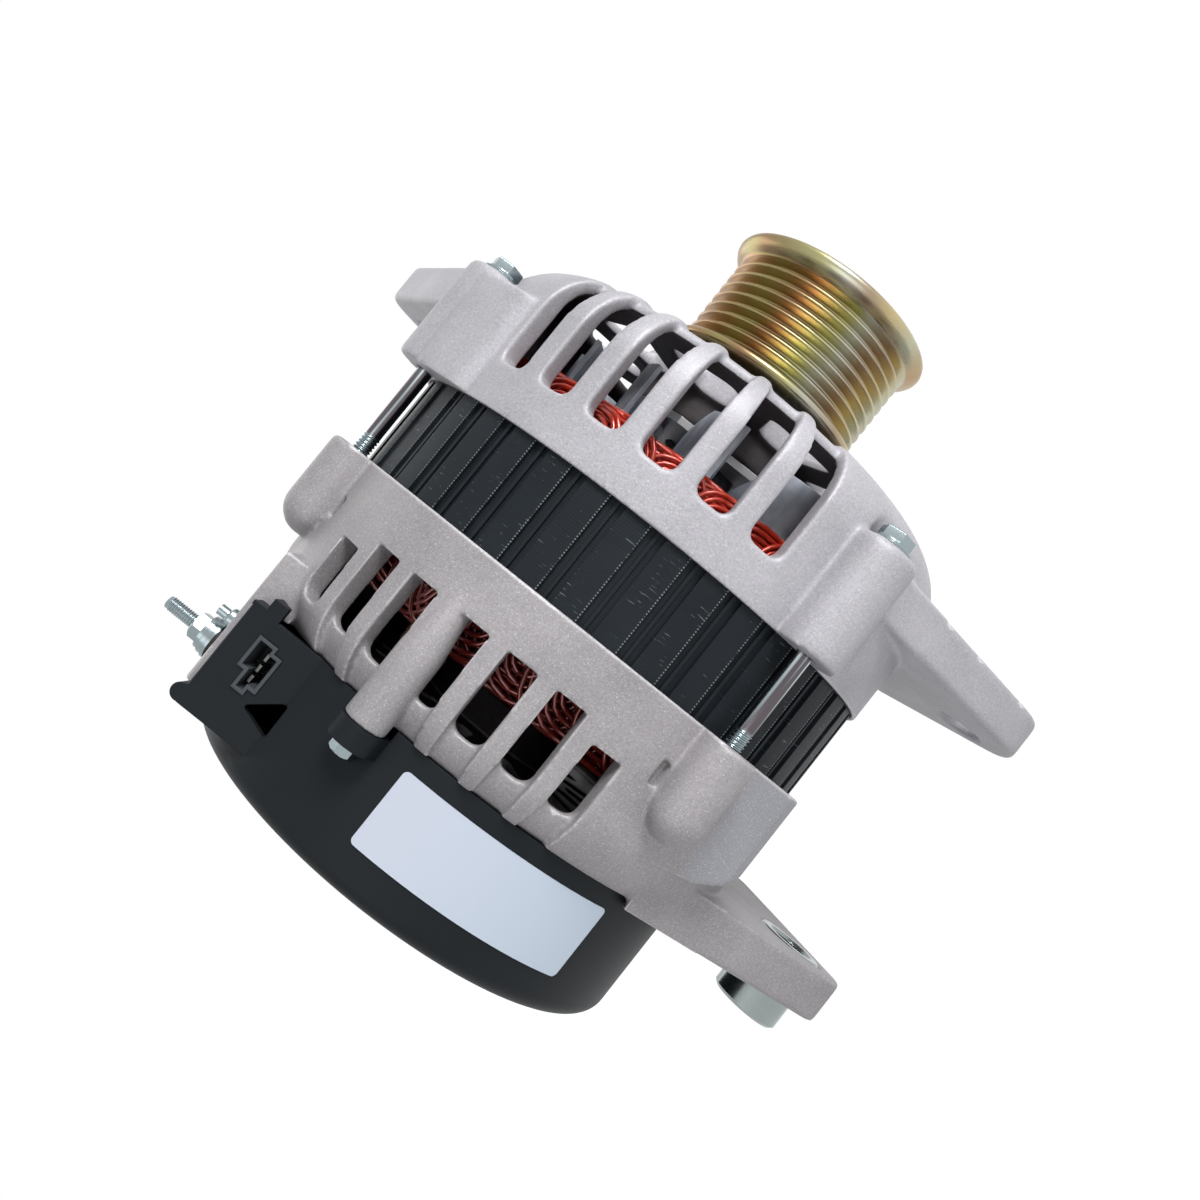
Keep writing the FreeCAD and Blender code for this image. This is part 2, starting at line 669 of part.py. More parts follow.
def boss_notches():
    """A shallow recess beside each bolt boss that faces the connector side."""
    notches = []
    for angle in BOSS_NOTCH_ANGLES:
        notches.append(rounded_slot(BOSS_NOTCH_WIDTH, (HOUSING_R - BOSS_NOTCH_DEPTH, HOUSING_R + 12), BOSS_NOTCH_Z,
                                    angle, 1.0, 1.0))
    return notches


def bolt_tapped_holes():
    holes = []
    for angle in bolt_angles():
        centre = at(BOLT_CIRCLE_R, angle)
        holes.append(rod(BOLT_TAPPED_R, BOLT_END_Z - 3, 1, centre.x, centre.y))
    return holes


def stud_bosses():
    """Round columns for the cover studs, which taper into the rim."""
    low, high = COVER_STUD_TOP_Z
    column = spun([(0, COVER_STUD_SEAT_Z), (COVER_STUD_BOSS_R, COVER_STUD_SEAT_Z), (COVER_STUD_BOSS_R, low, 12.0),
                   (COVER_STUD_TOP_R, high), (0, high)])
    bosses = []
    for angle in cover_stud_angles():
        bosses.append(placed(column, at(COVER_STUD_CIRCLE_R, angle)))
        bosses.append(radial_block(2 * COVER_STUD_TOP_R, (HOUSING_R - RIB_DEPTH - 2, COVER_STUD_CIRCLE_R),
                                   (REAR_FACE_Z, high), angle))
    return joined(bosses)


def stud_holes():
    holes = []
    for angle in cover_stud_angles():
        centre = at(COVER_STUD_CIRCLE_R, angle)
        holes.append(rod(COVER_STUD_R + FIT_GAP, COVER_STUD_SEAT_Z - 1, COVER_STUD_SEAT_Z + COVER_STUD_GRIP + 1,
                         centre.x, centre.y))
    return holes


def rear_flank():
    """The flat machined flank above the rear pivot ear."""
    across = (REAR_FLANK[0][0] - 5, 0.0)
    return plate(REAR_FLANK, REAR_EAR_Z[1], 0).common(side_plate(REAR_FLANK_SIDE, across))


def terminal_wall():
    """The flat wall that carries the terminals, and its root on the rear housing."""
    wall = side_plate([(WALL_LOW_Y, WALL_Z[1]), (WALL_TOP_Y, WALL_Z[1]), (WALL_TOP_Y, WALL_Z[0], WALL_ROUND),
                       (WALL_LOW_Y, WALL_Z[0], WALL_ROUND)], WALL_X)
    root = plate([(WALL_X[0], WALL_TOP_Y), (WALL_X[0], WALL_ROOT_Y[0]), (WALL_X[1], WALL_ROOT_Y[1]),
                  (WALL_X[1], WALL_TOP_Y)], REAR_FACE_Z, WALL_Z[1])
    return [wall, root]


def terminal_holes():
    below, above = WALL_LOW_Y - 1, WALL_TOP_Y + 1
    return [cross_rod(OUTPUT_SLEEVE_R + FIT_GAP, OUTPUT_X, OUTPUT_Z, below, above),
            cross_rod(SECOND_SHANK_R + FIT_GAP, SECOND_X, SECOND_Z, below, above)]


def cross_rod(radius, x, z, y_low, y_high):
    return Part.makeCylinder(radius, y_high - y_low, Vector(x, y_low, z), Vector(0, 1, 0))


def frame_screw_spots():
    return [at(FRAME_SCREW_CIRCLE_R, angle) for angle in FRAME_SCREW_ANGLES]


def regulator_screw_spots():
    return [Vector(x, y, 0) for x, y in REGULATOR_SCREWS]


def lead_spots():
    return [at(LEAD_CIRCLE_R, angle) for angle in LEAD_ANGLES]


def rear_housing():
    pivot = plate(REAR_EAR, REAR_EAR_Z[0], REAR_EAR_Z[1])
    pivot = pivot.cut(rod(COVER_R + RUNNING_GAP, REAR_EAR_Z[0] - 1, REAR_FACE_Z))
    rim = rod(HOUSING_R - RIM_WALL / 2, -30.0, -1.0)
    outer = joined([rear_envelope()] + rear_bolt_bosses() + terminal_wall() + [pivot, rear_flank(), rear_pad(), rim])
    shell = without(outer, [rear_cavity()] + rear_slots() + boss_notches())
    whole = joined([shell, stud_bosses().cut(rear_cavity())])
    cutters = bolt_tapped_holes() + stud_holes() + rear_face_vents() + terminal_holes()
    cutters.append(rod(BUSH_R, REAR_EAR_Z[0] - 5, REAR_EAR_Z[1] + 5, 0, PIVOT_Y))
    for spot in frame_screw_spots() + regulator_screw_spots():
        cutters.append(rod(FRAME_SCREW_R + FIT_GAP, REAR_FACE_Z - 1, REAR_FACE_Z + FRAME_SCREW_GRIP + 0.2,
                           spot.x, spot.y))
    for spot in lead_spots():
        cutters.append(rod(LEAD_SLEEVE_R + FIT_GAP, REAR_FACE_Z - 1, REAR_FACE_Z + 14, spot.x, spot.y))
    return without(whole, cutters)


# Stator

def stator_outline(radius, z_low, z_high):
    core = tube(radius, STATOR_BORE_R, z_low, z_high)
    pitch = 360.0 / STATOR_SLOTS
    beyond = (z_low - 1, z_high + 1)
    cutters = []
    for k in range(STATOR_SLOTS):
        angle = GROOVE_FIRST_ANGLE + pitch * k
        cutters.append(radial_block(STATOR_SLOT_WIDTH, slot_radii(), beyond, angle))
        cutters.append(radial_block(STATOR_SLOT_MOUTH, (STATOR_BORE_R - 3, STATOR_BORE_R + 3), beyond, angle))
    return core, cutters


def slot_radii():
    return STATOR_BORE_R + STATOR_TOOTH_TIP, STATOR_R - STATOR_BACK_IRON


def stator_core():
    core, cutters = stator_outline(STATOR_R, -REGISTER_DEPTH, STATOR_SHOWN + REGISTER_DEPTH)
    pitch = 360.0 / STATOR_SLOTS
    floor = STATOR_R - GROOVE_DEPTH
    width = 2 * STATOR_R * math.sin(math.radians(GROOVE_WIDTH_DEG / 2))
    ridge = 2 * STATOR_R * math.sin(math.radians(GROOVE_RIDGE_DEG / 2))
    side = (width - ridge) / 2
    for k in range(STATOR_SLOTS):
        angle = GROOVE_FIRST_ANGLE + pitch * k
        for sign in (-1, 1):
            middle = sign * (ridge + side) / 2
            groove = block((floor, STATOR_R + 5), (middle - side / 2, middle + side / 2), (0, STATOR_SHOWN))
            cutters.append(turned(groove, angle))
        top = block((STATOR_R - GROOVE_RIDGE_DROP, STATOR_R + 5), (-ridge / 2 - 0.01, ridge / 2 + 0.01),
                    (0, STATOR_SHOWN))
        cutters.append(turned(top, angle))
    return without(core, cutters)


def bar(start, end, width, depth):
    """A conductor of rectangular section between two points, its depth lying along the radius."""
    along = (end - start)
    length = along.Length
    along.normalize()
    middle = (start + end) * 0.5
    outward = Vector(middle.x, middle.y, 0).normalize()
    across = along.cross(outward).normalize()
    outward = across.cross(along).normalize()
    corners = [start + across * (i * width / 2) + outward * (j * depth / 2)
               for i, j in ((-1, -1), (1, -1), (1, 1), (-1, 1))]
    face = Part.Face(Part.makePolygon(corners + [corners[0]]))
    return face.extrude(along * length)


def hairpin(inner, outer, z_start, z_knee, z_top, angle, width, depth):
    """One end loop: it leans away from its slot, steps outwards and leans on into the slot three further."""
    pitch = 360.0 / STATOR_SLOTS
    apex = angle + 1.5 * pitch
    points = [at(inner, angle, z_start), at(inner, angle, z_knee), at(inner, apex, z_top),
              at(outer, apex, z_top), at(outer, angle + 3 * pitch, z_knee),
              at(outer, angle + 3 * pitch, z_start)]
    pieces = [bar(points[i], points[i + 1], width, depth) for i in (0, 1, 3, 4)]
    grow = 0.5 * min(width, depth)
    step = turned(block((inner - grow, outer + grow), (-width / 2, width / 2),
                        (z_top - width / 2, z_top + width / 2)), apex)
    return joined(pieces + [step])


def stator_windings():
    pitch = 360.0 / STATOR_SLOTS
    low = -REGISTER_DEPTH
    high = STATOR_SHOWN + REGISTER_DEPTH
    slot_low, slot_high = slot_radii()
    depth = (slot_high - slot_low - (WINDING_LAYERS + 1) * WINDING_GAP) / WINDING_LAYERS
    width = STATOR_SLOT_WIDTH - 2 * SLOT_LINER
    layers = [slot_low + (depth + WINDING_GAP) * (k + 1) - depth / 2 for k in range(WINDING_LAYERS)]
    wires = []
    for k in range(0, STATOR_SLOTS):
        angle = GROOVE_FIRST_ANGLE + pitch * k
        for inner, outer in zip(layers[0::2], layers[1::2]):
            front = hairpin(inner, outer, high - 0.2, high + 2.0, high + WINDING_FRONT_REACH - 1.2,
                            angle, width, depth)
            rear = hairpin(inner, outer, low + 0.2, low - 2.0, low - WINDING_REAR_REACH + 1.2,
                           angle, width, depth)
            wires += [front, rear]
        for radius in layers:
            wires.append(turned(block((radius - depth / 2, radius + depth / 2), (-width / 2, width / 2),
                                      (low + 0.2, high - 0.2)), angle))
    return Part.makeCompound(wires)


def winding_rear_end():
    return -REGISTER_DEPTH - WINDING_REAR_REACH


def phase_leads():
    leads = []
    for spot in lead_spots():
        leads.append(rod(LEAD_R, terminal_frame_span()[1], winding_rear_end() - 0.3, spot.x, spot.y))
        leads.append(tube(LEAD_SLEEVE_R, LEAD_R, REAR_FACE_Z - 1, REAR_FACE_Z + 14, spot.x, spot.y))
    return Part.makeCompound(leads)


# Through bolts

def through_bolt():
    head_low = BOLT_SEAT_Z + BOLT_WASHER_THICK
    flange = rod(BOLT_FLANGE_R, head_low, head_low + BOLT_FLANGE_HEIGHT)
    head = hexagon(BOLT_HEAD_AF, head_low + BOLT_FLANGE_HEIGHT - 0.01, head_low + BOLT_HEAD_HEIGHT)
    shank = rod(BOLT_SHANK_R, BOLT_THREAD_TOP_Z, head_low + 0.01)
    thread = spun([(0, BOLT_THREAD_TOP_Z), (BOLT_THREAD_R, BOLT_THREAD_TOP_Z), (BOLT_THREAD_R, BOLT_END_Z + 1),
                   (BOLT_THREAD_R - 0.8, BOLT_END_Z), (0, BOLT_END_Z)])
    return joined([flange, head, shank, thread])


def through_bolts():
    bolts = []
    for angle in bolt_angles():
        bolts.append(placed(turned(through_bolt(), angle), at(BOLT_CIRCLE_R, angle)))
    return Part.makeCompound(bolts)


def placed(shape, spot):
    copy = shape.copy()
    copy.translate(Vector(spot.x, spot.y, spot.z))
    return copy


def bolt_washers():
    washers = []
    for angle in bolt_angles():
        centre = at(BOLT_CIRCLE_R, angle)
        washers.append(tube(BOLT_WASHER_R, BOLT_SHANK_R + 0.2, BOLT_SEAT_Z, BOLT_SEAT_Z + BOLT_WASHER_THICK,
                            centre.x, centre.y))
    return Part.makeCompound(washers)


def pivot_bush():
    top = REAR_EAR_Z[1]
    bottom = REAR_EAR_Z[0] - BUSH_STICKS_OUT
    bush = tube(BUSH_R, BUSH_BORE_R, bottom, top, 0, PIVOT_Y)
    rims = [edge for edge in bush.Edges if edge.Closed]
    return bush.makeChamfer(BUSH_CHAMFER, rims)


# Bearings

def race_ring(inner, outer, z_low, z_high, ball_circle, ball_r):
    ring = tube(outer, inner, z_low, z_high)
    race = Part.makeTorus(ball_circle, ball_r + BALL_GAP, Vector(0, 0, (z_low + z_high) / 2))
    return ring.cut(race)


def bearing_sizes(bearing):
    bore, outside, width = bearing
    middle = (bore + outside) / 2
    ball = (outside - bore) * 0.29
    land = ball * 0.45
    return bore, outside, width, middle, ball, land


def bearing_outer_ring(bearing, z_low):
    bore, outside, width, middle, ball, land = bearing_sizes(bearing)
    return race_ring(middle + land, outside, z_low, z_low + width, middle, ball)


def bearing_inner_ring(bearing, z_low):
    bore, outside, width, middle, ball, land = bearing_sizes(bearing)
    return race_ring(bore, middle - land, z_low, z_low + width, middle, ball)


def bearing_cage(bearing, z_low, balls):
    """The cage with its balls: they go round together."""
    bore, outside, width, middle, ball, land = bearing_sizes(bearing)
    height = z_low + width / 2
    ring = tube(middle + CAGE_HALF_THICK, middle - CAGE_HALF_THICK, height - ball * 0.8, height + ball * 0.8)
    pieces = []
    pockets = []
    for k in range(balls):
        spot = at(middle, 360.0 / balls * k, height)
        pieces.append(Part.makeSphere(ball, spot))
        pockets.append(Part.makeSphere(ball + 0.03, spot))
    return Part.makeCompound([without(ring, pockets)] + pieces)


def bearing_seals():
    bore, outside, width, middle, ball, land = bearing_sizes(FRONT_BEARING)
    seals = []
    for z in (FRONT_BEARING_Z + 0.3, FRONT_BEARING_Z + FRONT_BEARING[2] - 1.1):
        seals.append(tube(middle + land, middle - land + 0.15, z, z + 0.8))
    return Part.makeCompound(seals)


def bearing_retainer():
    low = FRONT_BEARING_Z - RETAINER_THICK
    disc = tube(RETAINER_R, FRONT_LIP_R - 0.5, low, FRONT_BEARING_Z)
    beyond = (low - 5, FRONT_BEARING_Z + 5)
    holes = [rod(RETAINER_SCREW_R + 0.25, beyond[0], beyond[1], spot.x, spot.y) for spot in retainer_screw_spots()]
    flats = [turned(block((RETAINER_R - 3.0, RETAINER_R + 8), (-20, 20), beyond), 90 * k) for k in range(4)]
    return without(disc, holes + flats)


def retainer_screw_spots():
    step = 360.0 / RETAINER_SCREW_COUNT
    return [at(RETAINER_SCREW_CIRCLE_R, step * (k + 0.5)) for k in range(RETAINER_SCREW_COUNT)]


def cross_screw(head_r, head_height, shank_r, seat, tip):
    """A screw whose head lies on the rearward side of its seat, with a cross recess."""
    top = seat - head_height
    head = rod(head_r, top, seat)
    shank = rod(shank_r, seat - 0.1, tip)
    half, reach = CROSS_WIDTH / 2, CROSS_LENGTH / 2
    floor = top + head_height / 2
    cross = [block((-half, half), (-reach, reach), (top - 1, floor)),
             block((-reach, reach), (-half, half), (top - 1, floor))]
    return without(joined([head, shank]), cross)


def retainer_screws():
    seat = FRONT_BEARING_Z - RETAINER_THICK
    screw = cross_screw(RETAINER_SCREW_HEAD_R, SCREW_HEAD_HEIGHT, RETAINER_SCREW_R, seat,
                        FRONT_BEARING_Z + RETAINER_SCREW_LENGTH)
    return Part.makeCompound([placed(screw, spot) for spot in retainer_screw_spots()])


# Rotor

def rotor_radius():
    return STATOR_BORE_R - AIR_GAP


def pole_half(front):
    """One claw pole with seven tapering claws. The front one points to the rear and the other way round."""
    near = ROTOR_MIDDLE_Z + ROTOR_LENGTH / 2
    far = ROTOR_MIDDLE_Z - ROTOR_LENGTH / 2
    disc_inner = near - POLE_DISC_THICK
    tip = far + CLAW_END_GAP
    outer = rotor_radius()
    body = spun([(SHAFT_MID_R, near), (outer, near, 3.0), (outer, tip, 0.8), (outer - CLAW_TIP_THICK, tip),
                 (outer - CLAW_ROOT_THICK, disc_inner, 2.0), (SHAFT_MID_R, disc_inner)])
    full = 2 * math.pi * outer / POLE_PAIRS
    root_half = (full - CLAW_ROOT_WIDTH) / 2
    tip_half = (full - CLAW_TIP_WIDTH) / 2 * 0.97
    floor = outer - CLAW_ROOT_THICK - 5.0
    gaps = []
    for k in range(POLE_PAIRS):
        corners = [(-root_half * 0.8, near + 1), (root_half * 0.8, near + 1), (root_half * 0.9, disc_inner),
                   (tip_half, tip - 1), (-tip_half, tip - 1), (-root_half * 0.9, disc_inner)]
        wire = rounded_wire(corners, lambda a, b: Vector(floor, a, b))
        gap = Part.Face(wire).extrude(Vector(30, 0, 0))
        gaps.append(turned(gap, 360.0 / POLE_PAIRS * (k + 0.5)))
    pole = without(body, gaps)
    if front:
        return pole
    pole = pole.mirror(Vector(0, 0, ROTOR_MIDDLE_Z), Vector(0, 0, 1))
    return turned(pole, 180.0 / POLE_PAIRS)


def core_span():
    low = ROTOR_MIDDLE_Z - ROTOR_LENGTH / 2 + POLE_DISC_THICK
    return low, low + ROTOR_LENGTH - 2 * POLE_DISC_THICK


def field_core():
    low, high = core_span()
    return tube(FIELD_CORE_R, SHAFT_MID_R, low, high)


def field_bobbin():
    low, high = core_span()
    sleeve = tube(FIELD_CORE_R + BOBBIN_WALL, FIELD_CORE_R, low, high)
    flanges = [tube(BOBBIN_R, FIELD_CORE_R, low, low + BOBBIN_WALL),
               tube(BOBBIN_R, FIELD_CORE_R, high - BOBBIN_WALL, high)]
    return joined([sleeve] + flanges)


def field_coil():
    low, high = core_span()
    return tube(FIELD_COIL_R, FIELD_CORE_R + BOBBIN_WALL, low + BOBBIN_WALL, high - BOBBIN_WALL)


def curved_plate(start, middle, end, thick, z_low, z_high):
    arc = Part.Arc(start, middle, end)
    circle = arc.toShape().Curve
    centre = circle.Center
    share = (circle.Radius - thick) / circle.Radius
    back = [centre + (point - centre) * share for point in (start, middle, end)]
    edges = [arc.toShape(), Part.LineSegment(end, back[2]).toShape(),
             Part.Arc(back[2], back[1], back[0]).toShape(), Part.LineSegment(back[0], start).toShape()]
    return Part.Face(Part.Wire(edges)).extrude(Vector(0, 0, z_high - z_low))


def fan(z_plate, blades, height, upwards):
    z_low = z_plate if upwards else z_plate - FAN_THICK
    plate_disc = tube(FAN_DISC_R, SHAFT_MID_R, z_low, z_low + FAN_THICK)
    pieces = [plate_disc]
    step = 360.0 / blades
    edge = (z_low + 0.2, z_low + FAN_THICK + height) if upwards else (z_low - height, z_low + FAN_THICK - 0.2)
    for k in range(blades):
        turn = step * k
        corners = [at(30, 2), at(FAN_R, 20), at(FAN_R, 34), at(30, 24)]
        pad = plate([(c.x, c.y) for c in corners], z_low, z_low + FAN_THICK)
        blade = curved_plate(at(33.0, -1.0, edge[0]), at(43.0, 6.5, edge[0]), at(FAN_R, 19.0, edge[0]),
                             FAN_THICK, edge[0], edge[1])
        slope = radial_cut(edge, upwards)
        pieces += [turned(pad, turn), turned(blade.cut(slope), turn)]
    whole = joined(pieces)
    return whole.common(rod(FAN_R, edge[0] - 5, edge[1] + 5))


def radial_cut(edge, upwards):
    """What comes off the inner end of a blade, so that its edge rises outwards."""
    drop = (edge[1] - edge[0]) * 0.45
    if upwards:
        corners = [(20, edge[1] - drop), (34, edge[1] - drop), (43, edge[1]), (43, edge[1] + 5), (20, edge[1] + 5)]
    else:
        corners = [(20, edge[0] + drop), (34, edge[0] + drop), (43, edge[0]), (43, edge[0] - 5), (20, edge[0] - 5)]
    return spun(corners)


def front_fan():
    return fan(ROTOR_MIDDLE_Z + ROTOR_LENGTH / 2, FRONT_FAN_BLADES, FRONT_FAN_HEIGHT, True)


def rear_fan():
    return fan(ROTOR_MIDDLE_Z - ROTOR_LENGTH / 2, REAR_FAN_BLADES, REAR_FAN_HEIGHT, False)


def rotor_shaft():
    shoulder = REAR_BEARING_Z + REAR_BEARING[2]
    return spun([(0, SHAFT_REAR_END_Z), (SHAFT_TIP_R, SHAFT_REAR_END_Z, 0.8), (SHAFT_TIP_R, REAR_BEARING_Z - 3),
                 (SHAFT_REAR_R, REAR_BEARING_Z - 3), (SHAFT_REAR_R, shoulder), (SHAFT_MID_R, shoulder),
                 (SHAFT_MID_R, FRONT_BEARING_Z), (SHAFT_R, FRONT_BEARING_Z), (SHAFT_R, PULLEY_SEAT_Z - 1.0),
                 (SHAFT_NUT_R, PULLEY_SEAT_Z - 0.5), (SHAFT_NUT_R, SHAFT_FRONT_END_Z, 1.0),
                 (0, SHAFT_FRONT_END_Z)])


def pulley_nut():
    nut = hexagon(NUT_AF, PULLEY_SEAT_Z, PULLEY_SEAT_Z + NUT_HEIGHT)
    return nut.cut(rod(SHAFT_NUT_R + 0.02, PULLEY_SEAT_Z - 5, PULLEY_SEAT_Z + NUT_HEIGHT + 5))


def spacer_collar():
    return tube(COLLAR_R, SHAFT_R, FRONT_BEARING_Z + FRONT_BEARING[2], PULLEY_FRONT_Z - PULLEY_LENGTH)


def pulley():
    disc_low = PULLEY_FRONT_Z - PULLEY_LENGTH
    disc_high = disc_low + PULLEY_DISC_THICK
    rim_in = PULLEY_RIDGE_R - PULLEY_GROOVE_DEPTH - PULLEY_WALL
    web_low, web_high = PULLEY_WEB_Z
    outline = [(SHAFT_R, disc_low), (PULLEY_BOSS_R, disc_low), (PULLEY_BOSS_R, web_low, 2.0),
               (rim_in, web_low, 2.0), (rim_in, disc_low), (PULLEY_DISC_R, disc_low, 0.5),
               (PULLEY_DISC_R, disc_high, 0.8), (PULLEY_RIDGE_R, disc_high)]
    first = PULLEY_FLANGE_Z - PULLEY_GROOVES * PULLEY_PITCH + PULLEY_PITCH / 2
    top_half, floor_half = PULLEY_GROOVE_HALF
    for k in range(PULLEY_GROOVES):
        middle = first + PULLEY_PITCH * k
        floor = PULLEY_RIDGE_R - PULLEY_GROOVE_DEPTH
        outline += [(PULLEY_RIDGE_R, middle - top_half), (floor, middle - floor_half),
                    (floor, middle + floor_half), (PULLEY_RIDGE_R, middle + top_half)]
    outline += [(PULLEY_RIDGE_R, PULLEY_FLANGE_Z), (PULLEY_FLANGE_R, PULLEY_FLANGE_Z, 0.8),
                (PULLEY_FLANGE_R, PULLEY_FRONT_Z, 2.0), (rim_in, PULLEY_FRONT_Z, 1.0), (rim_in, web_high, 2.0),
                (PULLEY_HUB_R, web_high, 2.0), (PULLEY_HUB_R, PULLEY_SEAT_Z), (SHAFT_R, PULLEY_SEAT_Z)]
    return spun(outline)


def slip_ring_hub():
    low, high = SLIP_HUB_Z
    hub = tube(SLIP_RING_IN_R, SHAFT_TIP_R, low, high)
    half = SLIP_RING_WIDTH / 2
    collars = [(low, SLIP_RINGS_Z[1] - half), (SLIP_RINGS_Z[1] + half, SLIP_RINGS_Z[0] - half),
               (SLIP_RINGS_Z[0] + half, high)]
    return joined([hub] + [tube(SLIP_RING_R - 0.4, SHAFT_TIP_R, z[0], z[1]) for z in collars])


def slip_rings():
    half = SLIP_RING_WIDTH / 2
    return Part.makeCompound([tube(SLIP_RING_R, SLIP_RING_IN_R, z - half, z + half) for z in SLIP_RINGS_Z])


# Brushes and regulator

def brush(z):
    start = SLIP_RING_R + BRUSH_GAP
    stick = block((start - 1.5, start + BRUSH_LENGTH), (-BRUSH_SIZE[1] / 2, BRUSH_SIZE[1] / 2),
                  (z - BRUSH_SIZE[0] / 2, z + BRUSH_SIZE[0] / 2))
    return turned(stick.cut(rod(start, z - 10, z + 10)), BRUSH_ANGLE)


def holder_outside():
    tangential = BRUSH_SIZE[1] / 2 + BRUSH_CLEARANCE + HOLDER_WALL
    axial = BRUSH_SIZE[0] / 2 + BRUSH_CLEARANCE + HOLDER_WALL
    inner = SLIP_RING_R + HOLDER_RING_GAP
    return (inner, inner + HOLDER_LENGTH), (-tangential, tangential), (SLIP_RINGS_Z[1] - axial,
                                                                       SLIP_RINGS_Z[0] + axial)


def brush_holder():
    reach, across, along = holder_outside()
    body = block(reach, across, along)
    tongue = block((reach[1] - 8.0, reach[1]), (across[0] - 9.0, across[1]), along)
    tunnels = []
    for z in SLIP_RINGS_Z:
        tunnels.append(block((reach[0] - 1, reach[1] - HOLDER_WALL),
                             (-BRUSH_SIZE[1] / 2 - BRUSH_CLEARANCE, BRUSH_SIZE[1] / 2 + BRUSH_CLEARANCE),
                             (z - BRUSH_SIZE[0] / 2 - BRUSH_CLEARANCE, z + BRUSH_SIZE[0] / 2 + BRUSH_CLEARANCE)))
    foot = block((reach[1] - 8.0, reach[1]), (across[0] - 9.0, across[0]), (along[1] - 0.1, REAR_FACE_Z))
    return turned(without(joined([body, tongue, foot]), tunnels), BRUSH_ANGLE)


def brush_spring(z):
    """A compression spring between the brush and the end of its tunnel."""
    start = SLIP_RING_R + BRUSH_GAP + BRUSH_LENGTH
    end = SLIP_RING_R + HOLDER_RING_GAP + HOLDER_LENGTH - HOLDER_WALL
    length = end - start - 2 * SPRING_WIRE_R
    pitch = length / SPRING_TURNS
    helix = Part.makeHelix(pitch, length, SPRING_R)
    profile = Part.Wire(Part.makeCircle(SPRING_WIRE_R, Vector(SPRING_R, 0, 0), Vector(0, 1, 0)))
    coil = Part.Wire(helix.Edges).makePipeShell([profile], True, True)
    coil.translate(Vector(0, 0, start + SPRING_WIRE_R))
    coil.rotate(Vector(0, 0, 0), Vector(0, 1, 0), 90)
    coil.translate(Vector(0, 0, z))
    return turned(coil, BRUSH_ANGLE)


def voltage_regulator():
    """The regulator box with its cooling slits, standing on two screwed feet."""
    x, y, z = REGULATOR_X, REGULATOR_Y, REGULATOR_Z
    body = plate([(x[0], y[0], 3), (x[1], y[0], 3), (x[1], y[1], 3), (x[0], y[1], 3)], z[0], z[1])
    arm_low = z[1] - REGULATOR_ARM_THICK
    pieces = [body]
    for foot_x, foot_y in REGULATOR_SCREWS:
        pieces.append(rod(5.0, arm_low, REAR_FACE_Z, foot_x, foot_y))
    upper, lower = REGULATOR_SCREWS
    pieces.append(plate([(upper[0] - 7, y[1] - 8), (upper[0] + 7, y[1] - 8), (upper[0] + 5, upper[1]),
                         (upper[0] - 5, upper[1])], arm_low, z[1]))
    pieces.append(plate([(x[1] - 10, y[0] + 6), (x[1], y[0] + 4), (lower[0] + 5, lower[1]),
                         (lower[0] - 5, lower[1])], arm_low, z[1]))
    slits = []
    for k in range(REGULATOR_FINS):
        low = y[0] + 3.5 + REGULATOR_FIN_PITCH * k
        slits.append(block((x[0] + 4, x[1] - 4), (low, low + REGULATOR_FIN_PITCH / 2),
                           (z[0] - 1, z[0] + REGULATOR_FIN_DEPTH)))
    holes = [rod(FRAME_SCREW_R + 0.1, arm_low - 5, REAR_FACE_Z + 1, spot.x, spot.y)
             for spot in regulator_screw_spots()]
    return without(joined(pieces), slits + holes)


def capacitor():
    x, y = CAPACITOR_SPOT
    body = rod(CAPACITOR_R, CAPACITOR_Z[0], CAPACITOR_Z[1], x, y)
    foot = plate([(x - 7, y - 6, 2), (x + 8, y - 6, 2), (x + 7, y + 6, 2), (x - 7, y + 6, 2)],
                 CAPACITOR_Z[1], REAR_FACE_Z)
    return joined([body, foot])


# Rectifier

def horseshoe(inner, outer, start, sweep, z):
    piece = spun([(inner, z[0]), (outer, z[0]), (outer, z[1]), (inner, z[1])], sweep)
    return turned(piece, start)


def negative_sink_span():
    return REAR_FACE_Z - NEGATIVE_SINK_THICK, REAR_FACE_Z


def terminal_frame_span():
    high = negative_sink_span()[0] - FRAME_GAP
    return high - TERMINAL_FRAME_THICK, high


def positive_sink_span():
    high = terminal_frame_span()[0] - POSITIVE_SINK_GAP
    return high - POSITIVE_SINK_THICK, high


def diode_spots():
    return [at(DIODE_CIRCLE_R, angle) for angle in DIODE_ANGLES]


def upright_holes(radius, spots):
    """Long holes that go through every layer of the rectifier."""
    return [rod(radius, positive_sink_span()[0] - 15, REAR_FACE_Z + 1, spot.x, spot.y) for spot in spots]


def negative_heat_sink():
    low, high = negative_sink_span()
    sink = horseshoe(SINK_IN_R, SINK_OUT_R, SINK_START_ANGLE, NEGATIVE_SINK_SWEEP, (low, high))
    holes = upright_holes(FRAME_SCREW_R + 0.45, frame_screw_spots())
    holes += upright_holes(LEAD_SLEEVE_R + 0.95, lead_spots())
    holes += [rod(DIODE_R + 0.1, low - 5, low + DIODE_SUNK + 0.5, spot.x, spot.y) for spot in diode_spots()]
    return without(sink, holes)


def diode_set(can, lead):
    pieces = []
    for spot in diode_spots():
        pieces.append(joined([rod(DIODE_R, can[0], can[1], spot.x, spot.y),
                              rod(0.8, lead[0], lead[1], spot.x, spot.y)]))
    return Part.makeCompound(pieces)


def negative_diodes():
    seat = negative_sink_span()[0] + DIODE_SUNK + 0.5
    return diode_set((seat - DIODE_HEIGHT, seat), (terminal_frame_span()[1], seat - DIODE_HEIGHT + 0.1))


def positive_diodes():
    seat = positive_sink_span()[0] + DIODE_SUNK
    return diode_set((seat, seat + DIODE_HEIGHT), (seat + DIODE_HEIGHT - 0.1, terminal_frame_span()[0]))


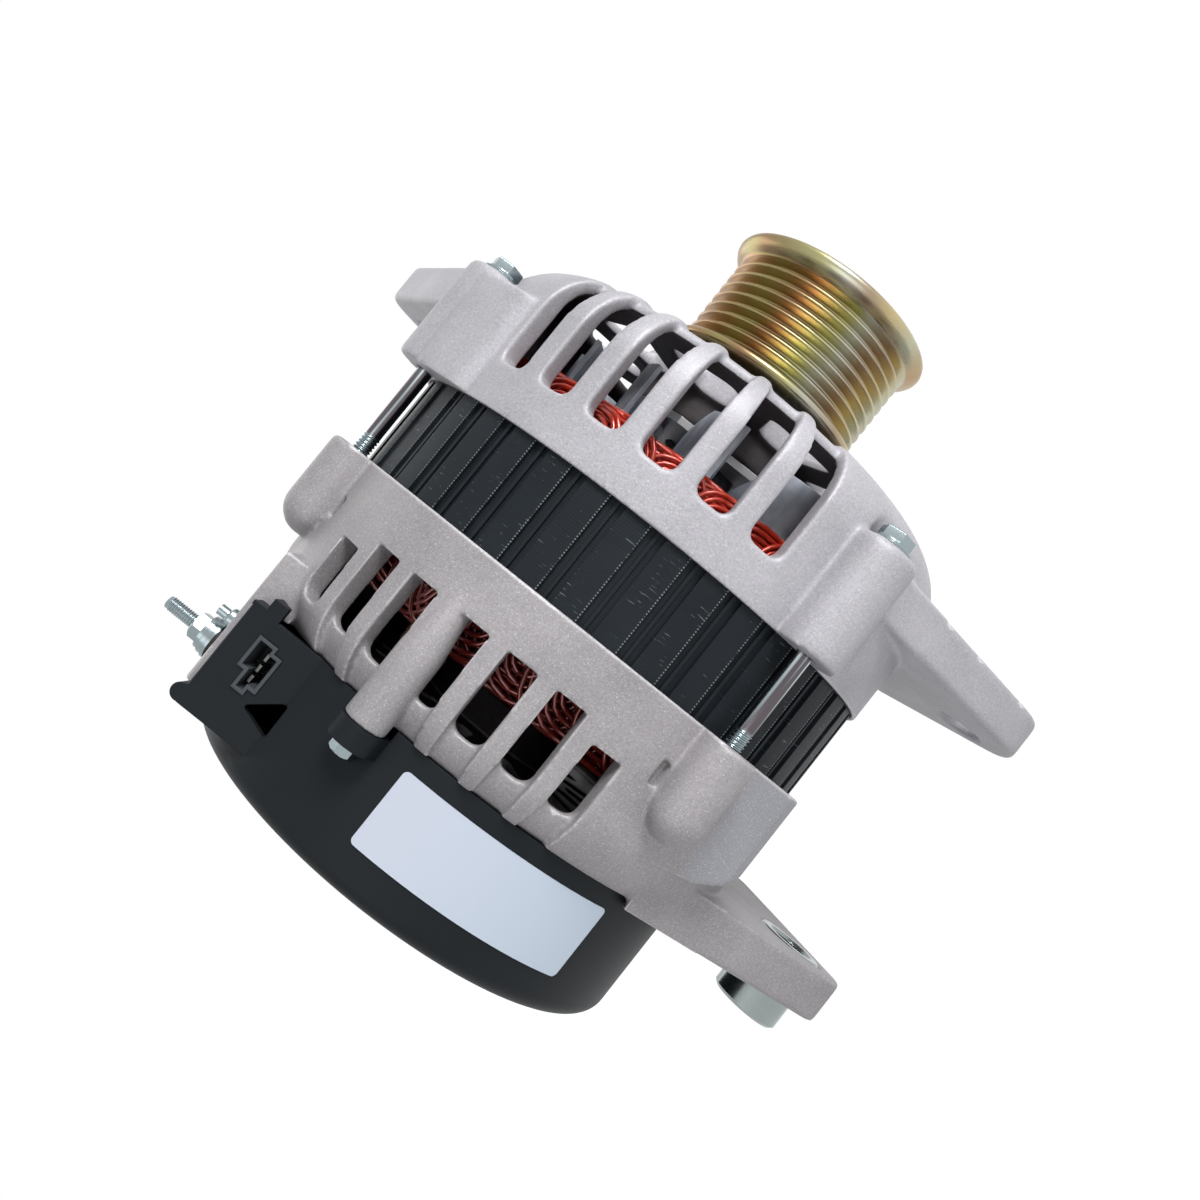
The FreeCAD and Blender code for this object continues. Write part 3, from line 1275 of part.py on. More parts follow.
def positive_heat_sink():
    low, high = positive_sink_span()
    sink = horseshoe(SINK_IN_R, SINK_OUT_R, SINK_START_ANGLE, POSITIVE_SINK_SWEEP, (low, high))
    holes = upright_holes(INSULATOR_SLEEVE_R + FIT_GAP, frame_screw_spots())
    holes += [rod(DIODE_R, low + DIODE_SUNK, high + 5, spot.x, spot.y) for spot in diode_spots()]
    fins = []
    for k in range(POSITIVE_FINS):
        angle = SINK_START_ANGLE + 4.0 + POSITIVE_FIN_PITCH * k
        if min(abs(angle - screw) for screw in FRAME_SCREW_ANGLES) > 7.0:
            fins.append(radial_block(1.6, (SINK_IN_R + 5, SINK_OUT_R - 1), (low - POSITIVE_FIN_HEIGHT, low + 0.1),
                                     angle))
    tab_y = output_tab_span()
    tab = block((OUTPUT_X - OUTPUT_TAB_REACH[0], OUTPUT_X + OUTPUT_TAB_REACH[1]), tab_y, (OUTPUT_Z - 5.4, high))
    arm = block((OUTPUT_X + 9.0, OUTPUT_X + 17.0), (SINK_OUT_R - 10, tab_y[1]), (low, high))
    holes.append(cross_rod(OUTPUT_STUD_R + FIT_GAP, OUTPUT_X, OUTPUT_Z, tab_y[0] - 5, tab_y[1] + 5))
    return without(joined([sink] + fins + [arm, tab]), holes)


def rectifier_terminal_frame():
    frame = horseshoe(SINK_IN_R + 3, SINK_OUT_R - 1, SINK_START_ANGLE + 2, NEGATIVE_SINK_SWEEP - 4,
                      terminal_frame_span())
    return without(frame, upright_holes(INSULATOR_SLEEVE_R + FIT_GAP, frame_screw_spots()))


def rectifier_insulators():
    bore = FRAME_SCREW_R + 0.3
    low, high = positive_sink_span()
    frame = terminal_frame_span()
    top = negative_sink_span()[0]
    pieces = []
    for spot in frame_screw_spots():
        sleeve = tube(INSULATOR_SLEEVE_R, bore, low, top, spot.x, spot.y)
        collar = tube(INSULATOR_R, bore, low - INSULATOR_COLLAR, low, spot.x, spot.y)
        ledge = tube(INSULATOR_R, INSULATOR_SLEEVE_R - 0.05, high, frame[0], spot.x, spot.y)
        lower = tube(INSULATOR_R, INSULATOR_SLEEVE_R - 0.05, frame[1], top, spot.x, spot.y)
        pieces.append(joined([sleeve, collar, ledge, lower]))
    return Part.makeCompound(pieces)


def rear_frame_screws():
    tip = REAR_FACE_Z + FRAME_SCREW_GRIP
    long_screw = cross_screw(FRAME_SCREW_HEAD_R, SCREW_HEAD_HEIGHT, FRAME_SCREW_R,
                             positive_sink_span()[0] - INSULATOR_COLLAR, tip)
    short_screw = cross_screw(FRAME_SCREW_HEAD_R, SCREW_HEAD_HEIGHT, FRAME_SCREW_R,
                              REGULATOR_Z[1] - REGULATOR_ARM_THICK, tip)
    screws = [placed(long_screw, spot) for spot in frame_screw_spots()]
    screws += [placed(short_screw, spot) for spot in regulator_screw_spots()]
    return Part.makeCompound(screws)


# Cover, its studs and its label

def above_flat():
    """Everything past the flat on the terminal side of the cover."""
    return block((-COVER_R - 5, COVER_R + 5), (COVER_FLAT_Y, COVER_R + 20), (COVER_END_Z - 5, REAR_FACE_Z + 5))


def block_corner(inset, z_low, z_high):
    """The square corner that carries the socket, moved inwards by a wall where it is hollow."""
    face, top = BLOCK_FACE_X + inset, COVER_FLAT_Y - inset
    inner, low = BLOCK_INNER_X - inset, BLOCK_LOW_Y - inset
    return plate([(face, low), (face, top, 1.2), (inner, top), (inner, low)], z_low, z_high)


def block_toe():
    """The toe of the socket block, which reaches forward over the side of the rear housing."""
    across = (BLOCK_FACE_X, WALL_X[0] - RUNNING_GAP)
    toe = block(across, BLOCK_TOE_Y, (REAR_FACE_Z, BLOCK_TOE_Z))
    brow = block(across, (BLOCK_TOE_Y[0], COVER_FLAT_Y), (REAR_FACE_Z, BLOCK_Z[1]))
    return joined([toe, brow]).cut(rod(HOUSING_R + RUNNING_GAP, REAR_FACE_Z, 0))


def cover_outer():
    barrel = spun([(0, REAR_FACE_Z), (COVER_R, REAR_FACE_Z), (COVER_R, COVER_END_Z, COVER_ROUND), (0, COVER_END_Z)])
    barrel = barrel.cut(above_flat())
    corner = block_corner(0, BLOCK_Z[0], REAR_FACE_Z)
    nub = Part.makeCylinder(NUB_R, NUB_LENGTH, Vector(BLOCK_FACE_X, COVER_FLAT_Y, BLOCK_Z[0] + NUB_R),
                            Vector(1, 0, 0))
    lugs = []
    low, high = COVER_STUD_SEAT_Z - COVER_LUG_HEIGHT, COVER_STUD_SEAT_Z
    for angle in cover_stud_angles():
        centre = at(COVER_STUD_CIRCLE_R, angle)
        lugs.append(rod(COVER_LUG_R, low, high, centre.x, centre.y))
        lugs.append(radial_block(2 * COVER_LUG_R, (COVER_R - 5, COVER_STUD_CIRCLE_R), (low, high), angle))
    return joined([barrel, corner, nub, block_toe()] + lugs)


def cover_hollow():
    inner_r = COVER_R - COVER_WALL
    end = COVER_END_Z + COVER_WALL
    inside = spun([(0, REAR_FACE_Z + 1), (inner_r, REAR_FACE_Z + 1),
                   (inner_r, end, COVER_ROUND - COVER_WALL + 0.4), (0, end)])
    flat = above_flat()
    flat.translate(Vector(0, -COVER_WALL, 0))
    corner = block_corner(COVER_WALL, BLOCK_Z[0] + COVER_WALL, REAR_FACE_Z)
    return joined([inside.cut(flat), corner])


def cover_clearances():
    """Room round the stud bosses, the holes for studs and terminals, and the socket opening."""
    cutters = []
    above = REAR_FACE_Z + 5
    room = COVER_STUD_BOSS_R + RUNNING_GAP
    seat = COVER_STUD_SEAT_Z - COVER_LUG_HEIGHT
    for angle in cover_stud_angles():
        centre = at(COVER_STUD_CIRCLE_R, angle)
        cutters.append(rod(room, COVER_STUD_SEAT_Z, above, centre.x, centre.y))
        cutters.append(radial_block(2 * room, (COVER_R - 11, COVER_STUD_CIRCLE_R), (COVER_STUD_SEAT_Z, above), angle))
        cutters.append(rod(COVER_STUD_R + 0.3, seat - 5, above, centre.x, centre.y))
    below, top = COVER_FLAT_Y - COVER_WALL - 2, COVER_FLAT_Y + 2
    cutters.append(cross_rod(OUTPUT_SLEEVE_R + 0.2, OUTPUT_X, OUTPUT_Z, below, top))
    cutters.append(cross_rod(SECOND_SHANK_R + 0.3, SECOND_X, SECOND_Z, below, top))
    cutters.append(side_plate(SOCKET_OUTLINE, (BLOCK_FACE_X - 5, BLOCK_FACE_X + SOCKET_DEPTH)))
    cutters.append(side_plate(BLOCK_WINDOW, (BLOCK_FACE_X - 5, BLOCK_FACE_X + COVER_WALL + 5)))
    return cutters


def cover_vents():
    opening = plate(tapered_corners(COVER_VENT_R, COVER_VENT_WIDTH, 1.4), COVER_END_Z - 1,
                    COVER_END_Z + COVER_WALL + 1)
    return [turned(opening, 360.0 / COVER_VENTS * k) for k in range(COVER_VENTS)]


def rear_cover():
    shell = cover_outer().cut(cover_hollow())
    low, high = COVER_STUD_SEAT_Z - COVER_LUG_HEIGHT, COVER_STUD_SEAT_Z
    posts = []
    for angle in cover_stud_angles():
        centre = at(COVER_STUD_CIRCLE_R, angle)
        posts.append(rod(COVER_LUG_R, low, high, centre.x, centre.y))
    return without(joined([shell] + posts), cover_clearances() + cover_vents())


def cover_label():
    """A blank label bent round the side of the cover."""
    start, end = LABEL_ANGLES
    sheet = spun([(COVER_R, LABEL_Z[0]), (COVER_R + LABEL_THICK, LABEL_Z[0]),
                  (COVER_R + LABEL_THICK, LABEL_Z[1]), (COVER_R, LABEL_Z[1])], end - start)
    sheet = turned(sheet, start)
    uprights = [edge for edge in sheet.Edges
                if edge.Length < 2 * LABEL_THICK and abs(edge.Vertexes[0].Z - edge.Vertexes[1].Z) < 1e-6]
    return sheet.makeFillet(LABEL_CORNER, uprights)


def cover_studs():
    studs = []
    for angle in cover_stud_angles():
        centre = at(COVER_STUD_CIRCLE_R, angle)
        tip = COVER_STUD_SEAT_Z - COVER_LUG_HEIGHT - COVER_WASHER_THICK - COVER_NUT_HEIGHT - COVER_STUD_SHOWS
        end = COVER_STUD_SEAT_Z + COVER_STUD_GRIP
        stud = spun([(0, tip), (COVER_STUD_R - 0.6, tip), (COVER_STUD_R, tip + 0.7), (COVER_STUD_R, end), (0, end)])
        studs.append(placed(stud, centre))
    return Part.makeCompound(studs)


def cover_nuts():
    nuts = []
    seat = COVER_STUD_SEAT_Z - COVER_LUG_HEIGHT
    for angle in cover_stud_angles():
        nut = hexagon(COVER_NUT_AF, 0, COVER_NUT_HEIGHT)
        nut = nut.cut(rod(COVER_STUD_R + 0.02, -1, COVER_NUT_HEIGHT + 1))
        nut.rotate(Vector(0, 0, 0), Vector(1, 0, 0), 180)
        nut.translate(Vector(0, 0, seat - COVER_WASHER_THICK))
        washer = tube(COVER_WASHER_R, COVER_STUD_R + 0.2, seat - COVER_WASHER_THICK, seat)
        nuts.append(placed(turned(nut, angle), at(COVER_STUD_CIRCLE_R, angle)))
        nuts.append(placed(washer, at(COVER_STUD_CIRCLE_R, angle)))
    return Part.makeCompound(nuts)


# Terminals

def upright(shape, x, z, y):
    """Stands a piece that was made along the rotor axis on its terminal, pointing away along Y."""
    copy = shape.copy()
    copy.rotate(Vector(0, 0, 0), Vector(1, 0, 0), -90)
    copy.translate(Vector(x, y, z))
    return copy


def output_tab_span():
    """The tab of the positive heat sink that the output stud passes through."""
    high = WALL_LOW_Y - WALL_GAP - COVER_WALL - OUTPUT_TAB_GAP
    return high - OUTPUT_TAB_THICK, high


def output_stack():
    """The heights at which the flange, the flat washer, the spring washer and the nut of the output end."""
    flange = WALL_TOP_Y + OUTPUT_FLANGE_HEIGHT
    flat = flange + OUTPUT_WASHER_THICK
    spring = flat + SPRING_WASHER_THICK
    return flange, flat, spring, spring + OUTPUT_NUT_FLANGE[1] + OUTPUT_NUT_HEIGHT


def output_stud():
    top = output_tab_span()[0]
    tip = WALL_TOP_Y + OUTPUT_STUD_SHOWN
    head = rod(OUTPUT_STUD_HEAD[0], top - OUTPUT_STUD_HEAD[1], top)
    shank = spun([(0, top - 1), (OUTPUT_STUD_R, top - 1), (OUTPUT_STUD_R, tip - 0.6),
                  (OUTPUT_STUD_R - 0.5, tip), (0, tip)])
    return upright(joined([head, shank]), OUTPUT_X, OUTPUT_Z, 0)


def output_insulator():
    bore = OUTPUT_STUD_R + 0.1
    sleeve = tube(OUTPUT_SLEEVE_R, bore, output_tab_span()[1], WALL_TOP_Y)
    flange = tube(OUTPUT_FLANGE_R, bore, WALL_TOP_Y, output_stack()[0])
    return upright(joined([sleeve, flange]), OUTPUT_X, OUTPUT_Z, 0)


def output_washers():
    flange, flat, spring, end = output_stack()
    bore = OUTPUT_STUD_R + 0.15
    plain = tube(OUTPUT_WASHER_R, bore, flange, flat)
    split = tube(SPRING_WASHER_R, bore, flat, spring)
    split = split.cut(block((0, SPRING_WASHER_R + 2), (-0.4, 0.4), (flat - 2, spring + 2)))
    return upright(Part.makeCompound([plain, split]), OUTPUT_X, OUTPUT_Z, 0)


def output_nut():
    flange, flat, spring, end = output_stack()
    foot = rod(OUTPUT_NUT_FLANGE[0], spring, spring + OUTPUT_NUT_FLANGE[1])
    nut = joined([foot, hexagon(OUTPUT_NUT_AF, spring + OUTPUT_NUT_FLANGE[1] - 0.01, end)])
    return upright(nut.cut(rod(OUTPUT_STUD_R + 0.02, spring - 5, end + 5)), OUTPUT_X, OUTPUT_Z, 0)


def second_stud():
    shank = rod(SECOND_SHANK_R, WALL_LOW_Y - SECOND_ROOT_DEPTH, WALL_TOP_Y + SECOND_TIP_SHOWN)
    head = spun([(0, WALL_TOP_Y), (SECOND_HEAD_R, WALL_TOP_Y), (SECOND_HEAD_R, WALL_TOP_Y + SECOND_HEAD_HEIGHT, 0.8),
                 (0, WALL_TOP_Y + SECOND_HEAD_HEIGHT)])
    return upright(joined([shank, head]), SECOND_X, SECOND_Z, 0)


# Connector

def connector_socket():
    """The keyed socket, its frame standing a little proud of the block."""
    deep = BLOCK_FACE_X + SOCKET_DEPTH
    outside = side_plate(SOCKET_OUTLINE, (BLOCK_FACE_X - SOCKET_PROUD, deep))
    face = Part.Face(rounded_wire(SOCKET_OUTLINE, lambda a, b: Vector(BLOCK_FACE_X - SOCKET_PROUD - 1, a, b)))
    opening = face.makeOffset2D(-SOCKET_FRAME, 2)
    opening = opening.extrude(Vector(SOCKET_DEPTH + SOCKET_PROUD + 1 - SOCKET_FLOOR, 0, 0))
    slots = [block((BLOCK_FACE_X, deep + 5), pin_across(), (spot - PIN_SIZE[1] / 2, spot + PIN_SIZE[1] / 2))
             for spot in PINS_Z]
    return without(outside, [opening] + slots)


def pin_across():
    return PIN_Y - PIN_SIZE[0] / 2, PIN_Y + PIN_SIZE[0] / 2


def connector_pins():
    pins = []
    reach = (BLOCK_FACE_X + PIN_SET_BACK, BLOCK_FACE_X + SOCKET_DEPTH + 4.0)
    for spot in PINS_Z:
        pins.append(block(reach, pin_across(), (spot - PIN_SIZE[1] / 2, spot + PIN_SIZE[1] / 2)))
    return Part.makeCompound(pins)


def finished(shape):
    """Puts a piece in its final place: origin in the middle of the belt, pulley facing -Y."""
    copy = shape.copy()
    copy.translate(Vector(0, 0, -BELT_Z))
    copy.rotate(Vector(0, 0, 0), Vector(1, 0, 0), 90)
    return copy


def all_pieces():
    return {
        "front_housing": front_housing(),
        "rear_housing": rear_housing(),
        "stator_core": stator_core(),
        "stator_windings": stator_windings(),
        "phase_leads": phase_leads(),
        "through_bolts": through_bolts(),
        "bolt_washers": bolt_washers(),
        "pivot_bush": pivot_bush(),
        "front_bearing_outer_ring": bearing_outer_ring(FRONT_BEARING, FRONT_BEARING_Z),
        "front_bearing_inner_ring": bearing_inner_ring(FRONT_BEARING, FRONT_BEARING_Z),
        "front_bearing_cage": bearing_cage(FRONT_BEARING, FRONT_BEARING_Z, FRONT_BEARING_BALLS),
        "front_bearing_seals": bearing_seals(),
        "rear_bearing_outer_ring": bearing_outer_ring(REAR_BEARING, REAR_BEARING_Z),
        "rear_bearing_inner_ring": bearing_inner_ring(REAR_BEARING, REAR_BEARING_Z),
        "rear_bearing_cage": bearing_cage(REAR_BEARING, REAR_BEARING_Z, REAR_BEARING_BALLS),
        "bearing_retainer": bearing_retainer(),
        "retainer_screws": retainer_screws(),
        "rotor_shaft": rotor_shaft(),
        "front_pole": pole_half(True),
        "rear_pole": pole_half(False),
        "field_core": field_core(),
        "field_bobbin": field_bobbin(),
        "field_coil": field_coil(),
        "front_fan": front_fan(),
        "rear_fan": rear_fan(),
        "slip_ring_hub": slip_ring_hub(),
        "slip_rings": slip_rings(),
        "spacer_collar": spacer_collar(),
        "pulley": pulley(),
        "pulley_nut": pulley_nut(),
        "inner_brush": brush(SLIP_RINGS_Z[0]),
        "outer_brush": brush(SLIP_RINGS_Z[1]),
        "inner_brush_spring": brush_spring(SLIP_RINGS_Z[0]),
        "outer_brush_spring": brush_spring(SLIP_RINGS_Z[1]),
        "brush_holder": brush_holder(),
        "voltage_regulator": voltage_regulator(),
        "capacitor": capacitor(),
        "negative_heat_sink": negative_heat_sink(),
        "positive_heat_sink": positive_heat_sink(),
        "negative_diodes": negative_diodes(),
        "positive_diodes": positive_diodes(),
        "rectifier_terminal_frame": rectifier_terminal_frame(),
        "rectifier_insulators": rectifier_insulators(),
        "rear_frame_screws": rear_frame_screws(),
        "rear_cover": rear_cover(),
        "cover_label": cover_label(),
        "cover_studs": cover_studs(),
        "cover_nuts": cover_nuts(),
        "output_stud": output_stud(),
        "output_insulator": output_insulator(),
        "output_washers": output_washers(),
        "output_nut": output_nut(),
        "second_stud": second_stud(),
        "connector_socket": connector_socket(),
        "connector_pins": connector_pins(),
    }


os.makedirs("parts", exist_ok=True)
for name, shape in all_pieces().items():
    finished(shape).exportStep(os.path.join("parts", name + ".step"))
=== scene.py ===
# %% [markdown]
# # A belt-driven alternator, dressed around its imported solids
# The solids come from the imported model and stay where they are. This lesson gives each of them the finish
# of the real piece: sand-cast aluminium, varnished laminations, yellow passivated zinc, black moulding.
# A few pieces, such as the wound copper wires and the screw threads, are modelled here, because their
# small repeated forms are what the eye looks for.

# %%
import itertools
import json
import math
import random

import bmesh
import bpy
from mathutils import Matrix, Vector

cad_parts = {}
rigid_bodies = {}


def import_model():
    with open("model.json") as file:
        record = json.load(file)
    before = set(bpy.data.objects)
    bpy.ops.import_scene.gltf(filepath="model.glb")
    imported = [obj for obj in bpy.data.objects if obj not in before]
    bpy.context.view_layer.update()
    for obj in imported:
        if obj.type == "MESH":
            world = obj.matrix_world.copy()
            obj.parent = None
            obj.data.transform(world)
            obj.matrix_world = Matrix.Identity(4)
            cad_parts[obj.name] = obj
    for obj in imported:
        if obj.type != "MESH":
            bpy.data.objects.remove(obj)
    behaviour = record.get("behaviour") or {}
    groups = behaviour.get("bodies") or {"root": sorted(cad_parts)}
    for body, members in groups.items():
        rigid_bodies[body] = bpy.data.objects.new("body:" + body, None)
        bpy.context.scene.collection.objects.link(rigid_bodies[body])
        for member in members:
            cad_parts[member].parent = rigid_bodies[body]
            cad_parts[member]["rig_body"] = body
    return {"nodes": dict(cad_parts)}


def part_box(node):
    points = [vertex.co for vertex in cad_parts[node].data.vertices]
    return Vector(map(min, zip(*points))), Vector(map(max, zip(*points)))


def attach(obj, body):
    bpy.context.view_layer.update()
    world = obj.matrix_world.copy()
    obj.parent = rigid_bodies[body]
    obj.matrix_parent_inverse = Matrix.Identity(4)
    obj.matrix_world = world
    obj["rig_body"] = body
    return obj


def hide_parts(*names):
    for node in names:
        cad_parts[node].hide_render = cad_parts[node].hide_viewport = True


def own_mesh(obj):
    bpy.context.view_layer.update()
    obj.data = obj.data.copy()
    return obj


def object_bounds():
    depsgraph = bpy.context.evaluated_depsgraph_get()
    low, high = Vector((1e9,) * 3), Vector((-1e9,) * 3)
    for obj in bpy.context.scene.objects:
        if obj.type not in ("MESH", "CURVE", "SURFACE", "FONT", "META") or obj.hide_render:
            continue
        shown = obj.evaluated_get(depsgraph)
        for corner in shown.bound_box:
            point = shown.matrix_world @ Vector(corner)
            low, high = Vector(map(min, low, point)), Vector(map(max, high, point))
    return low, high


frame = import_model()
cad_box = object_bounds()
nodes = frame["nodes"]
print("solids in the frame:", len(nodes))

# %% [markdown]
# ## Lengths and directions
# Everything is in metres. The rotor axis is the Y axis and the pulley looks along -Y. The maker's drawing
# measures height along the rotor from the rear rim of the stator, so `height` turns such a figure, in
# millimetres, into a Y value. Angles go round the rotor axis from +X towards +Z.

# %%
MM = 0.001
WHOLE_TURN = 360.0
BELT_HEIGHT = 101.53


def height(mm):
    """The Y of a place that lies this many millimetres along the rotor from the stator's rear rim."""
    return (BELT_HEIGHT - mm) * MM


def around(radius, degrees, mm):
    """A point at a radius and an angle about the rotor axis, in millimetres and degrees."""
    turn = math.radians(degrees)
    return Vector((radius * MM * math.cos(turn), height(mm), radius * MM * math.sin(turn)))


print("the stator's rear rim lies at Y =", round(height(0), 5))

# %% [markdown]
# New pieces are drawn in the maker's own millimetres, with Z along the rotor, and one matrix then takes
# a finished mesh to its place. So a bolt is drawn upright at the origin, where it is easy to think about.

# %%
QUARTER_TURN = Matrix.Rotation(math.radians(90), 4, "X")
TO_PLACE = Matrix.Translation((0, height(0), 0)) @ QUARTER_TURN @ Matrix.Scale(MM, 4)


def drawn_at(radius, degrees):
    """The matrix that puts an upright drawing at a radius and an angle, turned to face the axis."""
    return Matrix.Rotation(math.radians(degrees), 4, "Z") @ Matrix.Translation((radius, 0, 0))


def link_piece(name, mesh, finish, node):
    """Makes a mesh a piece that rides with a node's body and stands for that node."""
    piece = bpy.data.objects.new(name, mesh)
    bpy.context.scene.collection.objects.link(piece)
    piece.data.materials.clear()
    piece.data.materials.append(finish.material)
    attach(piece, nodes[node]["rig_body"])
    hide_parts(node)
    print(name, "has", len(mesh.polygons), "faces")
    return piece


def mesh_of(name, bm, sharp_over=35.0):
    """Turns a drawing into a mesh in place, smooth but for its sharp edges."""
    bmesh.ops.recalc_face_normals(bm, faces=bm.faces)
    bm.transform(TO_PLACE)
    mesh = bpy.data.meshes.new(name)
    bm.to_mesh(mesh)
    bm.free()
    mesh.shade_smooth()
    mesh.set_sharp_from_angle(angle=math.radians(sharp_over))
    return mesh


# %% [markdown]
# ## The camera
# The photograph was taken from the side, level with the rotor and near the middle of the stator, with the
# camera rolled so that the rotor runs from lower left to upper right. A matrix made from the roll, then a
# small pan and tilt, says this more plainly than three Euler angles.

# %%
CAMERA_PLACE = Vector((-0.30755, 0.10241, 0.0))
CAMERA_ROLL = 38.649
CAMERA_PAN = 1.284
CAMERA_TILT = -1.605
SENSOR_MM = 36.0
PHOTO_PIXELS = 1200
FOCAL_PIXELS = 1040
NEAREST_SEEN = 0.01


def camera_matrix():
    """Where the camera stands and how it is turned."""
    roll = math.radians(CAMERA_ROLL)
    right = Vector((0, -math.sin(roll), -math.cos(roll)))
    up = Vector((0, -math.cos(roll), math.sin(roll)))
    back = Vector((-1, 0, 0))
    level = Matrix((right, up, back))
    pan = Matrix.Rotation(math.radians(CAMERA_PAN), 3, "Y")
    tilt = Matrix.Rotation(math.radians(CAMERA_TILT), 3, "X")
    turned = (tilt @ pan @ level).transposed()
    return Matrix.Translation(CAMERA_PLACE) @ turned.to_4x4()


camera_data = bpy.data.cameras.new("camera")
camera_data.sensor_width = SENSOR_MM
camera_data.lens = SENSOR_MM * FOCAL_PIXELS / PHOTO_PIXELS
camera_data.clip_start = NEAREST_SEEN
camera = bpy.data.objects.new("camera", camera_data)
camera.matrix_world = camera_matrix()
bpy.context.scene.collection.objects.link(camera)
bpy.context.scene.camera = camera
print("camera stands", round(-CAMERA_PLACE.x / MM), "mm from the rotor axis")

# %% [markdown]
# ## Shader maths as plain expressions
# A shader is a graph, but its maths reads best as a formula. `Value` wraps one socket, so that
# `1 - mask * 0.5` makes the two Math nodes by itself. Everything that isn't maths comes from
# `Graph.node`, which the next cell holds.

# %%
class Value:
    """One output socket of a graph, with ordinary arithmetic."""

    def __init__(self, graph, socket):
        self.graph = graph
        self.socket = socket

    def maths(self, operation, *others):
        sockets = dict(enumerate((self,) + others))
        return self.graph.node("ShaderNodeMath", {"operation": operation}, sockets)

    def __add__(self, other):
        return self.maths("ADD", other)

    def __sub__(self, other):
        return self.maths("SUBTRACT", other)

    def __mul__(self, other):
        return self.maths("MULTIPLY", other)

    def __truediv__(self, other):
        return self.maths("DIVIDE", other)

    def __rsub__(self, other):
        return self.graph.node("ShaderNodeMath", {"operation": "SUBTRACT"}, {0: other, 1: self})

    __radd__ = __add__
    __rmul__ = __mul__

    def over(self, edge, soft=0.0):
        """1 where the value is above the edge, with a soft step if asked for."""
        if soft == 0.0:
            return self.maths("GREATER_THAN", edge)
        return self.graph.node("ShaderNodeMapRange", {"interpolation_type": "SMOOTHSTEP"},
                               {"Value": self, "From Min": edge - soft, "From Max": edge + soft})

    def under(self, edge, soft=0.0):
        return 1 - self.over(edge, soft)

    def between(self, low, high, soft=0.0):
        return self.over(low, soft) * self.under(high, soft)


# %% [markdown]
# A node is set up first, because a setting such as its data type can change its sockets. Then its sockets
# are fed with values or links. The surround of the scene is a graph of this kind too.

# %%
class Graph:
    """A node tree, whose nodes are made and fed in one step."""

    def __init__(self, tree):
        self.tree = tree

    def feed(self, socket, value):
        if isinstance(value, Value):
            self.tree.links.new(value.socket, socket)
        elif isinstance(value, tuple) and len(value) == 3 and socket.type == "RGBA":
            socket.default_value = (*value, 1.0)
        else:
            socket.default_value = value

    def node(self, kind, settings=None, sockets=None, output=0):
        made = self.tree.nodes.new(kind)
        for name, value in (settings or {}).items():
            if name == "stops":
                fill_ramp(made.color_ramp, value)
            else:
                setattr(made, name, value)
        for name, value in (sockets or {}).items():
            self.feed(made.inputs[name], value)
        return Value(self, made.outputs[output])

    def seen_directly(self):
        """1 for camera, mirror and glass rays, 0 for the rays that light the object."""
        camera, glossy, glass = (self.node("ShaderNodeLightPath", output=kind) for kind in
                                 ("Is Camera Ray", "Is Glossy Ray", "Is Transmission Ray"))
        return camera.maths("MAXIMUM", glossy).maths("MAXIMUM", glass)


# %% [markdown]
# A finish is the graph of one material. Its textures sit in Object coordinates, so they stay on the piece
# when it moves, and their grain is given in millimetres.

# %%
class Finish(Graph):
    """One material, whose Principled shader is fed by values and nodes."""

    def __init__(self, name, **plain):
        self.material = bpy.data.materials.new(name)
        self.material.use_nodes = True
        super().__init__(self.material.node_tree)
        self.shader = self.tree.nodes["Principled BSDF"]
        self.set(**plain)

    def set(self, **sockets):
        for name, value in sockets.items():
            self.feed(self.shader.inputs[name.replace("_", " ")], value)

    def place(self):
        """Object coordinates, in metres."""
        return self.node("ShaderNodeTexCoord", output="Object")

    def split(self, vector):
        """The three numbers of a vector."""
        return [self.node("ShaderNodeSeparateXYZ", sockets={0: vector}, output=axis) for axis in range(3)]

    def xyz(self):
        return self.split(self.place())

    def facts(self, name):
        """What the surface says of itself, such as its Normal or its Pointiness."""
        return self.node("ShaderNodeNewGeometry", output=name)

    def noise(self, grain, detail=3.0, stretch=None, roughness=0.55):
        """Noise whose grain is about so many millimetres across, stretched along some axes."""
        where = self.place()
        if stretch:
            where = self.node("ShaderNodeMapping", sockets={"Vector": where, "Scale": stretch})
        return self.node("ShaderNodeTexNoise", sockets={"Vector": where, "Scale": 1000.0 / grain,
                                                        "Detail": detail, "Roughness": roughness})

    def mix(self, share, first, second):
        return self.node("ShaderNodeMix", {"data_type": "RGBA"}, {0: share, 6: first, 7: second}, output=2)

    def ramp(self, value, stops):
        return self.node("ShaderNodeValToRGB", {"stops": stops}, {0: value})

    def bump(self, value, depth, under=None, strength=1.0):
        """A bump of so many millimetres where the value goes from 0 to 1."""
        sockets = {"Height": value, "Distance": depth * MM, "Strength": strength}
        if under is not None:
            sockets["Normal"] = under
        return self.node("ShaderNodeBump", sockets=sockets)

    def eased(self, radius):
        """The normal of edges that are rounded by so many millimetres."""
        return self.node("ShaderNodeBevel", {"samples": 4}, {"Radius": radius * MM})


def fill_ramp(ramp, stops):
    """Gives a colour ramp its stops, each a place and a colour."""
    while len(ramp.elements) < len(stops):
        ramp.elements.new(0.5)
    for element, (place, colour) in zip(ramp.elements, stops):
        element.position = place
        element.color = (*colour, 1.0)


def dress(finish, *names):
    """Gives the named solids a finish in every material slot."""
    print(finish.material.name, "on", ", ".join(names))
    for name in names:
        piece = nodes[name]
        for slot in piece.material_slots:
            slot.link = "OBJECT"
            slot.material = finish.material
        if not piece.material_slots:
            piece.data.materials.append(finish.material)


# %% [markdown]
# ## Floor and light
# A product photograph of this kind has large soft lamps and a white surround. The floor lies under the
# pivot ears. What the camera sees of it is mostly its own white, with a share of plain matt floor mixed
# in, so that a faint shadow stays. Nothing of that white falls on the object.

